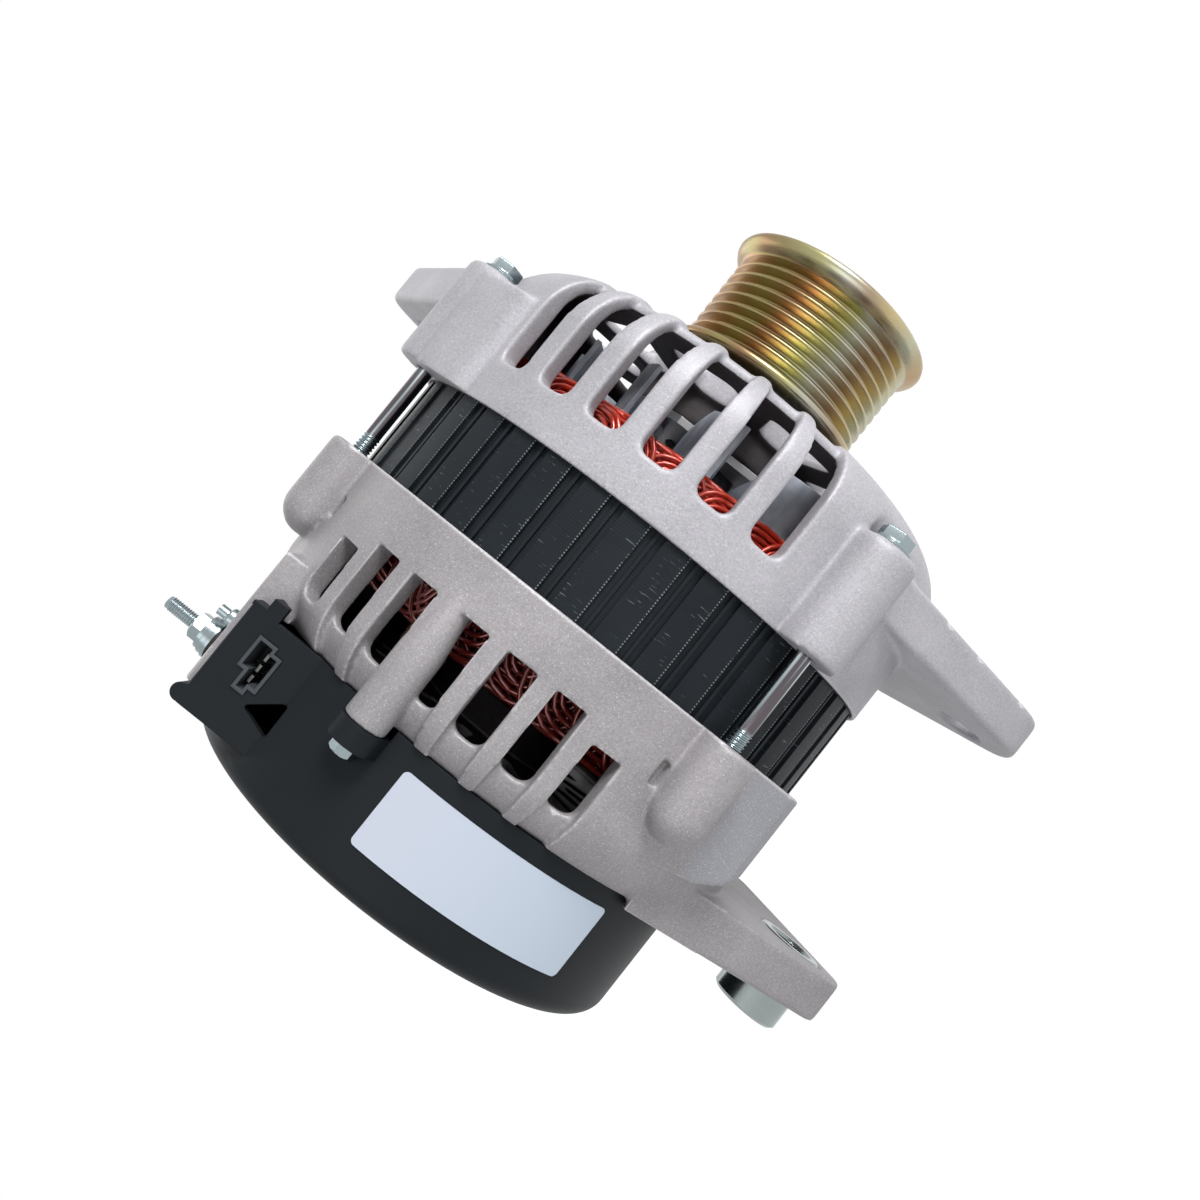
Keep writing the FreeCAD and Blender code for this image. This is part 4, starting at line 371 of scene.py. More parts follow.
# %%
FLOOR_SIZE = 8.0
FLOOR_MIDDLE = 0.03
FLOOR_GAP = 0.0005
FLOOR_SHADOW_SHARE = 0.18
FLOOR_WHITE = 1.16


def floor_finish():
    """Matt white for the lamps, and nearly its own even white for the camera."""
    finish = Finish("pale_floor", Base_Color=(0.92, 0.92, 0.92), Roughness=1.0)
    white = finish.node("ShaderNodeEmission", sockets={"Strength": FLOOR_WHITE})
    share = finish.seen_directly() * (1.0 - FLOOR_SHADOW_SHARE)
    matt = Value(finish, finish.shader.outputs[0])
    seen = finish.node("ShaderNodeMixShader", sockets={0: share, 1: matt, 2: white})
    finish.feed(finish.tree.nodes["Material Output"].inputs["Surface"], seen)
    return finish


bpy.ops.mesh.primitive_plane_add(size=FLOOR_SIZE, location=(0, FLOOR_MIDDLE, cad_box[0][2] - FLOOR_GAP))
floor = bpy.context.object
floor.name = "floor"
floor.data.materials.append(floor_finish().material)
print("floor at", round(floor.location.z / MM, 1), "mm")

# %%
WORLD_LIGHT = 0.27


def add_area_light(name, place, aim, size, power):
    """Hangs a soft lamp that looks at a point."""
    data = bpy.data.lights.new(name, "AREA")
    data.shape = "RECTANGLE"
    data.size, data.size_y = size
    data.energy = power
    lamp = bpy.data.objects.new(name, data)
    direction = Vector(aim) - Vector(place)
    lamp.location = place
    lamp.rotation_euler = direction.to_track_quat("-Z", "Y").to_euler()
    bpy.context.scene.collection.objects.link(lamp)
    print("lamp", name, "of", power, "W")


CENTRE = (0, 0.09, 0)
add_area_light("key", (-0.78, -0.78, 0.30), CENTRE, (0.45, 0.45), 14.3)
add_area_light("fill", (-0.9, 0.7, 0.05), CENTRE, (0.6, 0.9), 2.5)
add_area_light("back", (0.6, 0.3, 0.8), CENTRE, (0.8, 0.8), 3.0)

world = bpy.data.worlds.new("studio")
bpy.context.scene.world = world
world.use_nodes = True
sky = Graph(world.node_tree)
surround = sky.tree.nodes["Background"]
strength = sky.node("ShaderNodeMapRange",
                    sockets={"Value": sky.seen_directly(), "To Min": WORLD_LIGHT, "To Max": 1.0})
sky.feed(surround.inputs["Color"], (1.0, 1.0, 1.0))
sky.feed(surround.inputs["Strength"], strength)
bpy.context.scene.view_settings.view_transform = "Standard"
print("the surround lights the object with", WORLD_LIGHT)

# %% [markdown]
# ## Cast aluminium
# The two housings are gravity castings, so nothing on them is sharp: ribs, slot lips and ear edges are
# worn to a radius of about a millimetre. A Bevel modifier can't round edges where many solids have been
# fused, so each casting is rebuilt on a fine voxel grid, relaxed a little, and thinned where it is flat.
# The bare skin has a sandy grain and faint clouds, with painted glints on small facets. Inside it is
# brown-black with painted shade: the radius, the height and the way a face looks find that side. Pointiness
# tells crests from dips: crests get painted highlights with some handling wear, and dips get painted shade.

# %%
CASTING_VOXEL = 0.5
CASTING_TRIANGLES = 192000
EAR_START_R = 85.0
EAR_ROUNDS = 36
WELD = 0.001


def rebuilt(piece):
    """The piece's mesh as its modifiers leave it."""
    view = bpy.context.evaluated_depsgraph_get()
    return bpy.data.meshes.new_from_object(piece.evaluated_get(view))


def add_wear(draft, name, rounds, group=""):
    """Rounds every edge of a draft, or of one group of its points, a little more with each round."""
    wear = draft.modifiers.new(name, "SMOOTH")
    wear.factor = 0.5
    wear.iterations = rounds
    wear.vertex_group = group


def worn_mesh(name, node, rounds, heavy_rounds, heavy_heights):
    """A copy of a solid with worn edges, worn more between two heights and at the ears."""
    mesh = nodes[node].data.copy()
    bm = bmesh.new()
    bm.from_mesh(mesh)
    bmesh.ops.remove_doubles(bm, verts=bm.verts, dist=WELD * MM)
    bm.to_mesh(mesh)
    bm.free()
    draft = bpy.data.objects.new(name + "_draft", mesh)
    bpy.context.scene.collection.objects.link(draft)
    grid = draft.modifiers.new("grid", "REMESH")
    grid.mode = "VOXEL"
    grid.voxel_size = CASTING_VOXEL * MM
    add_wear(draft, "relax", rounds)
    dense = rebuilt(draft)
    draft.modifiers.clear()
    draft.data = dense
    heavy = draft.vertex_groups.new(name="heavy_wear")
    low, high = (height(mm) for mm in reversed(heavy_heights))
    heavy.add([v.index for v in dense.vertices if low < v.co.y < high], 1.0, "REPLACE")
    ears = draft.vertex_groups.new(name="ears")
    far = EAR_START_R * MM
    ears.add([v.index for v in dense.vertices if math.hypot(v.co.x, v.co.z) > far], 1.0, "REPLACE")
    add_wear(draft, heavy.name, heavy_rounds, heavy.name)
    add_wear(draft, ears.name, EAR_ROUNDS, ears.name)
    thin = draft.modifiers.new("thin", "DECIMATE")
    thin.ratio = min(1.0, CASTING_TRIANGLES / (2 * len(dense.polygons)))
    worn = rebuilt(draft)
    bpy.data.objects.remove(draft)
    worn.name = name
    worn.shade_smooth()
    return worn


# %%
INSIDE_R = 66.0
INSIDE_HEIGHTS = (-38.5, 69.0)
INNER_WALL_R = 73.4
FACE_R = 68.0
FACE_HEIGHTS = (-41.5, 71.5)
MIDDLE_HEIGHT = 13.65


def between_heights(y, heights):
    """1 where a place lies between two heights along the rotor."""
    return (y / MM).between(BELT_HEIGHT - heights[1], BELT_HEIGHT - heights[0], 0.6)


def cast_finish(name, dark, light, flank=None):
    """The casting's skin. A flank, given by its highest Z, its heights and its colour, is smoother."""
    finish = Finish(name, Metallic=0.25, Specular_IOR_Level=0.3)
    x, y, z = finish.xyz()
    clouds = finish.noise(26.0, 4.0)
    grain = finish.noise(0.75, 3.0, roughness=0.75)
    # Painted glints: small specks are lightened as if their facets caught the light.
    glint_speck = finish.noise(0.34, 1.0).over(0.66, 0.03)
    pits = finish.noise(2.4, 2.0)
    radius = (x * x + z * z).maths("SQRT") / MM
    # Painted shade: deep inside, on inward walls and on inner faces, the casting is darkened to brown-black
    # where shade falls.
    deep = radius.under(INSIDE_R, 0.6) * between_heights(y, INSIDE_HEIGHTS)
    looks_x, looks_y, looks_z = finish.split(finish.facts("Normal"))
    outward = (x * looks_x + z * looks_z) / (radius * MM)
    wall_shade = outward.under(-0.45, 0.15) * radius.under(INNER_WALL_R, 0.5)
    to_middle = (y - height(MIDDLE_HEIGHT)).maths("SIGN") * looks_y
    face_shade = to_middle.under(-0.4, 0.15) * radius.under(FACE_R, 0.5) * between_heights(y, FACE_HEIGHTS)
    painted_inside_shade = deep.maths("MAXIMUM", wall_shade).maths("MAXIMUM", face_shade)
    curve = finish.facts("Pointiness")
    # Painted highlight, partly handling wear: crests found by pointiness are lightened.
    crest = curve.over(0.535, 0.02)
    # Painted shade: dips found by pointiness are darkened.
    dip_shade = curve.under(0.465, 0.02)
    tone = finish.ramp(clouds * 0.45 + grain * 0.55, [(0.30, dark), (0.70, light)])
    relief = grain + pits * 0.5
    if flank:
        top, heights, colour = flank
        smooth = (z / MM).under(top, 1.0) * between_heights(y, heights)
        tone = finish.mix(smooth * 0.6, tone, colour)
        relief = relief * (1 - smooth * 0.8)
    # Painted glints on specks and painted highlights on crests lighten the tone.
    tone = finish.mix(glint_speck * 0.35 + crest * 0.45, tone, (0.84, 0.83, 0.86))
    # Painted shade darkens the dips.
    tone = finish.mix(dip_shade * 0.35, tone, (0.16, 0.14, 0.13))
    # Painted shade inside the casting.
    tone = finish.mix(painted_inside_shade * 0.9, tone, (0.022, 0.015, 0.015))
    finish.set(Base_Color=tone, Roughness=0.42 + grain * 0.25)
    finish.set(Normal=finish.bump(relief, 0.11, strength=0.8))
    return finish


front_cast = cast_finish("cast_aluminium_front", (0.30, 0.295, 0.315), (0.51, 0.50, 0.535))
rear_cast = cast_finish("cast_aluminium_rear", (0.235, 0.226, 0.235), (0.41, 0.39, 0.405),
                        (-56.0, (-31.0, -0.6), (0.29, 0.305, 0.34)))
front_skin = worn_mesh("front_casting", "front_housing", 6, 22, (33.0, 90.0))
rear_skin = worn_mesh("rear_casting", "rear_housing", 3, 12, (-60.0, -24.0))
link_piece("front_casting", front_skin, front_cast, "front_housing")
link_piece("rear_casting", rear_skin, rear_cast, "rear_housing")

# %% [markdown]
# ## Plated steel and mouldings
# Small steel parts are zinc plated: bright, slightly blue, with fine scratches. Mouldings are satin black
# with a fine spark texture. One function for each kind keeps the numbers of a piece on one line.

# %%
METAL_EDGE = 0.25
PLASTIC_EDGE = 0.4


def shade_of(colour, share):
    """The same colour, darker or lighter."""
    return tuple(channel * share for channel in colour)


def plain_metal(name, colour, roughness, metallic=1.0):
    """Metal with a fine grain, broad faint clouds and eased edges."""
    finish = Finish(name, Metallic=metallic)
    fine = finish.noise(0.5, 3.0)
    broad = finish.noise(9.0, 2.0)
    tone = finish.mix(broad, shade_of(colour, 0.78), colour)
    finish.set(Base_Color=tone, Roughness=roughness - 0.06 + fine * 0.14)
    finish.set(Normal=finish.bump(fine, 0.02, finish.eased(METAL_EDGE), 0.5))
    return finish


def plain_plastic(name, colour, roughness):
    """A moulding with the fine texture of its tool."""
    finish = Finish(name, Specular_IOR_Level=0.13)
    fine = finish.noise(0.4, 2.0)
    broad = finish.noise(14.0, 3.0)
    tone = finish.mix(broad, colour, shade_of(colour, 1.25))
    finish.set(Base_Color=tone, Roughness=roughness - 0.05 + fine * 0.1)
    finish.set(Normal=finish.bump(fine, 0.03, finish.eased(PLASTIC_EDGE), 0.6))
    return finish


def bar_with_painted_reflections(name, colour, reflected_dark, heights):
    """Zinc plate over a bar, whose shank between two heights carries painted reflections: dark streaks and
    bright streaks.
    """
    finish = Finish(name, Metallic=1.0)
    y = finish.xyz()[1]
    fine = finish.noise(0.5, 3.0)
    streaks = finish.noise(1.1, 1.0, stretch=(1.0, 0.015, 1.0))
    shank = between_heights(y, heights)
    # Painted reflections: dark streaks stand for the black stator mirrored in the shank, bright streaks for
    # the lamps.
    dark = streaks.under(0.50, 0.06) * shank
    painted_highlight = streaks.over(0.60, 0.04) * shank
    plate = finish.mix(finish.noise(6.0, 2.0), shade_of(colour, 0.8), colour)
    tone = finish.mix(dark, plate, reflected_dark)
    finish.set(Base_Color=finish.mix(painted_highlight, tone, (0.85, 0.88, 0.90)), Roughness=0.14 + fine * 0.14)
    finish.set(Normal=finish.bump(fine, 0.02, finish.eased(0.2), 0.5))
    return finish


zinc = plain_metal("zinc_plate", (0.31, 0.37, 0.39), 0.24)
dress(zinc, "bolt_washers", "cover_studs", "cover_nuts", "output_nut", "output_washers", "second_stud")
dress(plain_metal("bush_zinc", (0.33, 0.37, 0.37), 0.22), "pivot_bush")
dress(plain_metal("machined_steel", (0.50, 0.50, 0.51), 0.32), "rotor_shaft", "bearing_retainer",
      "retainer_screws", "rear_frame_screws", "spacer_collar", "pulley_nut", "field_core",
      "front_bearing_outer_ring", "front_bearing_inner_ring", "front_bearing_cage",
      "rear_bearing_outer_ring", "rear_bearing_inner_ring", "rear_bearing_cage")
dress(plain_metal("tinned_pin", (0.16, 0.16, 0.15), 0.4), "connector_pins")
dress(plain_metal("pole_iron", (0.035, 0.028, 0.026), 0.5, metallic=0.3), "front_pole", "rear_pole")
dress(plain_metal("slip_ring_copper", (0.70, 0.42, 0.28), 0.25), "slip_rings", "phase_leads")
dress(plain_metal("diode_can", (0.55, 0.50, 0.38), 0.35), "negative_diodes", "positive_diodes")
dress(plain_metal("heat_sink", (0.60, 0.60, 0.61), 0.4), "negative_heat_sink", "positive_heat_sink")
spring_wire = plain_metal("spring_wire", (0.6, 0.6, 0.6), 0.3)
dress(plain_plastic("dark_moulding", (0.035, 0.032, 0.03), 0.5), "field_bobbin", "slip_ring_hub",
      "brush_holder", "voltage_regulator", "rectifier_terminal_frame", "rectifier_insulators",
      "output_insulator", "front_bearing_seals", "inner_brush", "outer_brush", "capacitor")
dress(plain_plastic("cover_moulding", (0.0082, 0.0108, 0.0132), 0.48), "rear_cover")
dress(plain_plastic("grey_moulding", (0.055, 0.062, 0.07), 0.45), "connector_socket")

# %% [markdown]
# ## The fans
# Each fan is pressed from galvanised sheet. Through the slots its blades look pale and blue, with the
# soft mottling of the zinc and darker marks where the sheet was drawn round the press. The rear one is
# given a near-black sheet as painted shade for the dark inside of the machine.

# %%
def fan_sheet():
    """Zinc sheet with mottles and streaks."""
    finish = Finish("galvanised_sheet", Metallic=0.35, Specular_IOR_Level=0.5)
    mottle = finish.noise(5.0, 3.0)
    streaks = finish.noise(2.0, 2.0, stretch=(1.0, 0.2, 1.0))
    bloom = [(0.35, (0.34, 0.38, 0.45)), (0.65, (0.56, 0.60, 0.67))]
    tone = finish.ramp(mottle * 0.6 + streaks * 0.4, bloom)
    finish.set(Base_Color=tone, Roughness=0.35 + mottle * 0.2)
    finish.set(Normal=finish.bump(streaks, 0.03, finish.eased(0.3), 0.4))
    return finish


dress(fan_sheet(), "front_fan")
# Painted shade: the rear fan is near black, for the dark inside of the machine.
dress(plain_metal("painted_shade_sheet", (0.030, 0.032, 0.033), 0.55, metallic=0.2), "rear_fan")

# %% [markdown]
# ## The stator's laminations
# The core is a stack of sheets, varnished black, with a weld or rivet groove beside each slot. Its lands
# carry fine scratches, and the corner of every sheet catches the light as a dot beside the grooves. The
# pattern follows the angle round the rotor axis and the height along it, both worked out from Object
# coordinates, so it stays on the metal from every side.

# %%
GROOVES = 42
GROOVE_FIRST = 180.8
GROOVE_WIDTH = 3.3
SHEET_PITCH = 0.78


def turn_angle(finish):
    """The angle round the rotor axis, in degrees, and the place along it in millimetres."""
    x, y, z = finish.xyz()
    return z.maths("ARCTAN2", x) * math.degrees(1), y / MM


def stator_finish():
    """Black varnish, with painted glints at the sheet corners beside the grooves, and scratched lands."""
    finish = Finish("stator_varnish", Specular_IOR_Level=0.14)
    degrees, along = turn_angle(finish)
    pitch = WHOLE_TURN / GROOVES
    phase = ((degrees - GROOVE_FIRST + 2 * WHOLE_TURN) / pitch).maths("FRACT") * pitch
    lip = GROOVE_WIDTH / 2
    # Painted glints: dots at the corner of each sheet beside a groove are lightened as if they caught the
    # light.
    edge = phase.between(pitch - lip - 0.30, pitch - lip - 0.06, 0.06)
    sheets = (along / SHEET_PITCH).maths("FRACT")
    patchy = finish.noise(3.2, 3.0).over(0.42, 0.10)
    glint_dots = edge * sheets.between(0.25, 0.65, 0.1) * patchy
    land = phase.between(lip, pitch - lip, 0.05)
    unrolled = finish.node("ShaderNodeCombineXYZ", sockets={0: degrees * 0.30, 1: along * 2.2, 2: 0.0})
    fine = finish.node("ShaderNodeTexNoise", sockets={"Vector": unrolled, "Scale": 1.0, "Detail": 2.0})
    scratch = fine.over(0.68, 0.03) * finish.noise(8.0, 2.0).over(0.53, 0.05)
    # The painted glints and the real scratches on the lands lighten the varnish together.
    worn = (glint_dots * 0.8 + scratch * land * 0.45).maths("MINIMUM", 1.0)
    body = finish.mix(finish.noise(12.0, 3.0), (0.0070, 0.0095, 0.0120), (0.015, 0.0195, 0.024))
    finish.set(Base_Color=finish.mix(worn, body, (0.24, 0.28, 0.29)), Metallic=worn * 0.4)
    finish.set(Roughness=0.42 - worn * 0.1 + finish.noise(1.2, 2.0) * 0.12)
    ridges = (sheets - 0.5).maths("ABSOLUTE") * 2.0
    relief = ridges * 0.7 + finish.noise(0.6, 2.0) * 0.5
    finish.set(Normal=finish.bump(relief, 0.05, finish.eased(0.25), 0.6))
    return finish


dress(stator_finish(), "stator_core")

# %% [markdown]
# ## The pulley
# A pulley is turned from a bar, so it is one outline spun round the axis. The solid has sharp grooves and
# a plain flange. Here the crests and roots of the eight belt grooves are rounded as a form tool leaves
# them, and the front flange flares out to a rolled lip. A groove is written once, round its own middle.

# %%
BELT_GROOVES = 8
BELT_PITCH = 3.56
CREST_R = 29.95
FLANGE_FOOT = 115.77
PULLEY_STEPS = 144
GROOVE_SHAPE = [(0.0, -1.62), (-0.12, -1.43), (-0.45, -1.20), (-2.60, -0.43), (-2.87, -0.20),
                (-2.87, 0.20), (-2.60, 0.43), (-0.45, 1.20), (-0.12, 1.43), (0.0, 1.62)]
PULLEY_BACK = [(8.5, 84.5), (14.5, 84.5), (14.5, 90.6), (15.9, 92.0), (22.4, 92.0), (23.8, 90.6),
               (23.8, 84.5), (32.5, 84.5), (33.0, 85.0), (33.0, 86.1), (32.3, 86.9)]
PULLEY_LIP = [(30.6, 116.0), (31.7, 116.7), (32.6, 117.6), (33.2, 118.5), (33.35, 119.3), (33.1, 120.1),
              (32.4, 120.55), (31.4, 120.7), (25.0, 120.7), (24.1, 120.3), (23.8, 119.4), (23.8, 102.6),
              (22.5, 101.1), (18.6, 101.0), (17.3, 101.6), (17.0, 102.9), (17.0, 107.0), (8.5, 107.0)]


def turned_pulley():
    """The outline from bore to bore, spun once round the rotor axis."""
    bm = bmesh.new()
    middles = [FLANGE_FOOT - BELT_PITCH * (BELT_GROOVES - k - 0.5) for k in range(BELT_GROOVES)]
    grooves = [(CREST_R + out, middle + along) for middle in middles for out, along in GROOVE_SHAPE]
    outline = [bm.verts.new((radius, 0, mm)) for radius, mm in PULLEY_BACK + grooves + PULLEY_LIP]
    edges = [bm.edges.new(pair) for pair in zip(outline, outline[1:] + outline[:1])]
    bmesh.ops.spin(bm, geom=outline + edges, cent=(0, 0, 0), axis=(0, 0, 1), dvec=(0, 0, 0),
                   angle=math.radians(360), steps=PULLEY_STEPS, use_merge=True)
    return mesh_of("turned_pulley", bm, 50.0)


# %% [markdown]
# Its finish is yellow passivated zinc: gold to olive, with a rainbow film whose colour follows its
# thickness. The film is thickest where the part drained, so its bands run along the pulley and change
# round it. Painted reflections are mixed into these bands: dark and bright bands and pale silver streaks.
# Fine turning rings come from noise that is stretched flat along the axis.

# %%
# Film colours round the pulley, with painted reflections among them: dark and bright bands and pale silver
# streaks.
FILM_AND_REFLECTIONS = [(0.0, (0.38, 0.29, 0.11)), (0.10, (0.40, 0.22, 0.11)), (0.20, (0.34, 0.30, 0.12)),
        (0.26, (0.36, 0.18, 0.10)), (0.33, (0.27, 0.16, 0.07)), (0.38, (0.26, 0.23, 0.09)),
        (0.43, (0.27, 0.15, 0.085)), (0.48, (0.27, 0.22, 0.115)), (0.52, (0.40, 0.40, 0.20)),
        (0.56, (0.45, 0.47, 0.42)), (0.61, (0.35, 0.27, 0.20)), (0.66, (0.56, 0.46, 0.25)),
        (0.72, (0.50, 0.52, 0.40)), (0.80, (0.42, 0.26, 0.13)), (0.90, (0.36, 0.32, 0.14)),
        (1.0, (0.38, 0.29, 0.11))]
FILM_DRIFT = 40.0
FLANGE_DRIFT = 34.0


def pulley_finish():
    """Gold with a rainbow film that also holds painted reflections, and fine rings."""
    finish = Finish("yellow_passivated_zinc", Metallic=0.92)
    degrees, along = turn_angle(finish)
    on_flange = along.under(BELT_HEIGHT - FLANGE_FOOT, 0.3)
    drift = (finish.noise(26.0, 1.0) - 0.5) * FILM_DRIFT + on_flange * FLANGE_DRIFT
    film_and_reflection_bands = finish.ramp(((degrees + WHOLE_TURN + drift) / WHOLE_TURN).maths("FRACT"), FILM_AND_REFLECTIONS)
    gold = finish.mix(finish.noise(5.0, 3.0), (0.26, 0.19, 0.07), (0.52, 0.42, 0.20))
    rings = finish.noise(0.5, 2.0, stretch=(0.05, 1.0, 0.05))
    finish.set(Base_Color=finish.mix(0.78, gold, film_and_reflection_bands), Roughness=0.23 + rings * 0.12)
    finish.set(Normal=finish.bump(rings, 0.03, strength=0.5))
    return finish


link_piece("turned_pulley", turned_pulley(), pulley_finish(), "pulley")

# %% [markdown]
# ## The label
# A bare satin film on the cover's wall. It is a little lighter and bluer towards its lower end, and it has
# the slight waves of a film that is stuck to a moulded wall.

# %%
LABEL_ENDS = (-0.045, 0.010)


def label_finish():
    """A pale film whose colour drifts from end to end."""
    finish = Finish("label_film", Specular_IOR_Level=0.4)
    z = finish.xyz()[2]
    low, high = LABEL_ENDS
    share = finish.node("ShaderNodeMapRange", sockets={"Value": z, "From Min": low, "From Max": high})
    cloud = finish.noise(18.0, 2.0)
    tone = finish.mix(share * 0.8 + cloud * 0.2, (0.505, 0.59, 0.69), (0.52, 0.555, 0.645))
    finish.set(Base_Color=tone, Roughness=0.38 + cloud * 0.08)
    finish.set(Normal=finish.bump(cloud, 0.15, strength=0.3))
    return finish


dress(label_finish(), "cover_label")

# %% [markdown]
# ## The end turns of the winding
# Beyond the core the enamelled wires come out of each slot in a flat bundle, lean over, and go down into
# a slot further on. In the solid they are plain bars. Here each bundle is a few round wires that follow
# one path side by side. A bundle starts outside and ends inside, so that neighbours pass over each other
# as in a real lap winding, and three layers leave no gap. In each group of seven, four bundles lean one
# way and three the other, so the crossings vary. A curve with a round bevel draws a wire, and one mesh
# then holds them all. A layer is its two radii and how far it is turned, in slots.

# %%
WIRE_R = 0.72
WIRES_IN_BUNDLE = 5
LAYERS = ((68.6, 63.0, 0.0), (65.4, 60.6, 0.5), (61.6, 57.6, 0.0))
BUNDLE_SPAN = 25.7
CORE_FRONT = 30.6
CORE_REAR = -3.3
FRONT_APEX = 45.4
REAR_APEX = -23.2
WIRE_INSET = 1.15
WIRE_DROP = 0.105
LOOSE = 0.25
LIFT = 0.2
APEX_SPREAD = (-0.6, 0.2)
GROUP = 7
GROUP_LEANING = 4
ARCH = [(0.0, 0.0), (0.01, 0.45), (0.09, 0.88), (0.24, 1.02), (0.5, 1.03), (0.76, 1.02), (0.91, 0.88),
        (0.99, 0.45), (1.0, 0.0)]


def wire_path(angle, layer, root, apex, wire, lean, draw):
    """The points of one wire of a bundle, from its slot over the apex and down again."""
    inset = wire * WIRE_INSET
    reach = (apex - root) * (1 - WIRE_DROP * wire)
    points = []
    for share, rise in ARCH:
        turn = inset + (BUNDLE_SPAN - 2 * inset) * share
        radius = layer[0] + (layer[1] - layer[0]) * share
        free = 1.0 if 0 < rise else 0.0
        points.append(around(radius + draw.uniform(-LOOSE, LOOSE) * free,
                             angle + lean * (turn + draw.uniform(-LOOSE, LOOSE) * free),
                             root + reach * rise + draw.uniform(-LIFT, LIFT) * free))
    return points


def end_turns(name, root, apex, seed):
    """One mesh with all the wires at one end of the core."""
    draw = random.Random(seed)
    curve = bpy.data.curves.new(name, "CURVE")
    curve.dimensions = "3D"
    curve.bevel_depth = WIRE_R * MM
    curve.bevel_resolution = 1
    curve.resolution_u = 2
    for k, layer, wire in itertools.product(range(GROOVES), LAYERS, range(WIRES_IN_BUNDLE)):
        lean = 1 if (k % GROUP < GROUP_LEANING) == (layer is LAYERS[0]) else -1
        slot = GROOVE_FIRST + WHOLE_TURN / GROOVES * (k + layer[2])
        path = wire_path(slot, layer, root, apex + draw.uniform(*APEX_SPREAD), wire, lean, draw)
        spline = curve.splines.new("NURBS")
        spline.points.add(len(path) - 1)
        for point, place in zip(spline.points, path):
            point.co = (*place, 1.0)
        spline.order_u = 3
        spline.use_endpoint_u = True
    holder = bpy.data.objects.new(name, curve)
    bpy.context.scene.collection.objects.link(holder)
    mesh = rebuilt(holder)
    bpy.data.objects.remove(holder)
    mesh.shade_smooth()
    return mesh


# The colour of the painted shadow at the root of the end turns.
ROOT_SHADOW = (0.014, 0.011, 0.010)


def enamel(name, dark, light, root=(0.0, 0.0)):
    """Enamelled copper. Between two heights, at the root of the end turns, it is darkened as a painted
    shadow.
    """
    finish = Finish(name, Coat_Weight=0.9, Coat_Roughness=0.1, Metallic=0.35)
    shade = finish.noise(3.0, 2.0)
    deep = finish.noise(7.0, 2.0)
    # Painted shadow: near the core, where the rim shades the wires, they are darkened.
    root_shadow = between_heights(finish.xyz()[1], root) * 0.85
    tone = finish.mix(shade * 0.6 + deep * 0.4, dark, light)
    finish.set(Base_Color=finish.mix(root_shadow, tone, ROOT_SHADOW), Roughness=0.24 + shade * 0.12)
    return finish


red = enamel("red_enamel", (0.26, 0.014, 0.009), (0.85, 0.075, 0.035))
# The rear wires carry a painted shadow at their root.
dusty_red = enamel("dusty_red_enamel", (0.07, 0.006, 0.005), (0.30, 0.030, 0.020), (-14.5, 0.0))
dress(red, "field_coil")
link_piece("front_end_turns", end_turns("front_end_turns", CORE_FRONT, FRONT_APEX, 3), red,
           "stator_windings")
link_piece("rear_end_turns", end_turns("rear_end_turns", CORE_REAR, REAR_APEX, 5), dusty_red,
           "stator_windings")

# %% [markdown]
# ## Screw threads
# A thread is one tooth swept round the axis while it climbs by its pitch. The spin operator does both at
# once: its step vector lifts each copy a little. The tooth's foot is hidden inside the plain shank.

# %%
TURN_STEPS = 24
ROD_SIDES = 32
THREAD_DEPTH = 0.54
THREAD_WELD = 0.004
LEVEL = 1e-4


def add_thread(bm, radius, pitch, low, high, depth=None):
    """Adds a right-handed thread between two heights to an upright drawing."""
    depth = depth or THREAD_DEPTH * pitch
    turns = (high - low) / pitch - 1
    root, crest = radius - depth, radius - 0.06 * depth
    section = ((root, 0.0), (crest, 0.42), (crest, 0.54), (root, 1.0))
    tooth = [bm.verts.new((out, 0, low + share * pitch)) for out, share in section]
    edges = [bm.edges.new(pair) for pair in zip(tooth, tooth[1:])]
    bmesh.ops.spin(bm, geom=tooth + edges, cent=(0, 0, 0), axis=(0, 0, 1), dvec=(0, 0, pitch / TURN_STEPS),
                   angle=math.radians(360) * turns, steps=round(TURN_STEPS * turns), use_merge=False)
    bmesh.ops.remove_doubles(bm, verts=bm.verts, dist=THREAD_WELD)


def add_rod(bm, radius, low, high, bevel=0.0):
    """Adds an upright round bar, with its end edges broken if asked for."""
    made = bmesh.ops.create_cone(bm, cap_ends=True, segments=ROD_SIDES, radius1=radius, radius2=radius,
                                 depth=high - low, matrix=Matrix.Translation((0, 0, (low + high) / 2)))
    if bevel:
        rims = {e for v in made["verts"] for e in v.link_edges
                if abs(e.verts[0].co.z - e.verts[1].co.z) < LEVEL}
        bmesh.ops.bevel(bm, geom=list(rims), affect="EDGES", offset=bevel, segments=2, profile=0.5,
                        material=-1)


# %% [markdown]
# ## The through bolts
# Four flange bolts clamp the two housings round the stator. The corners of a real head are turned off by a
# cone, and here a bevel on the hexagon's top rim does that. The bare shank shows beside the stator, and
# its thread starts just before the rear housing.

# %%
BOLT_R = 2.2
BOLT_THREAD_R = 2.5
BOLT_CORE_R = 2.05
BOLT_PITCH = 1.0
BOLT_LOW = -17.0
BOLT_THREAD_TOP = 5.5
BOLT_FLANGE_R = 4.6
BOLT_FLANGE_LOW = 59.9
BOLT_FLANGE_TOP = 60.8
BOLT_HEAD_TOP = 63.5
BOLT_AF = 8.0
BOLT_CORNER = 0.5
BOLT_CIRCLE = 80.8
BOLT_ANGLES = (113.4, 213.9, 293.4, 33.9)


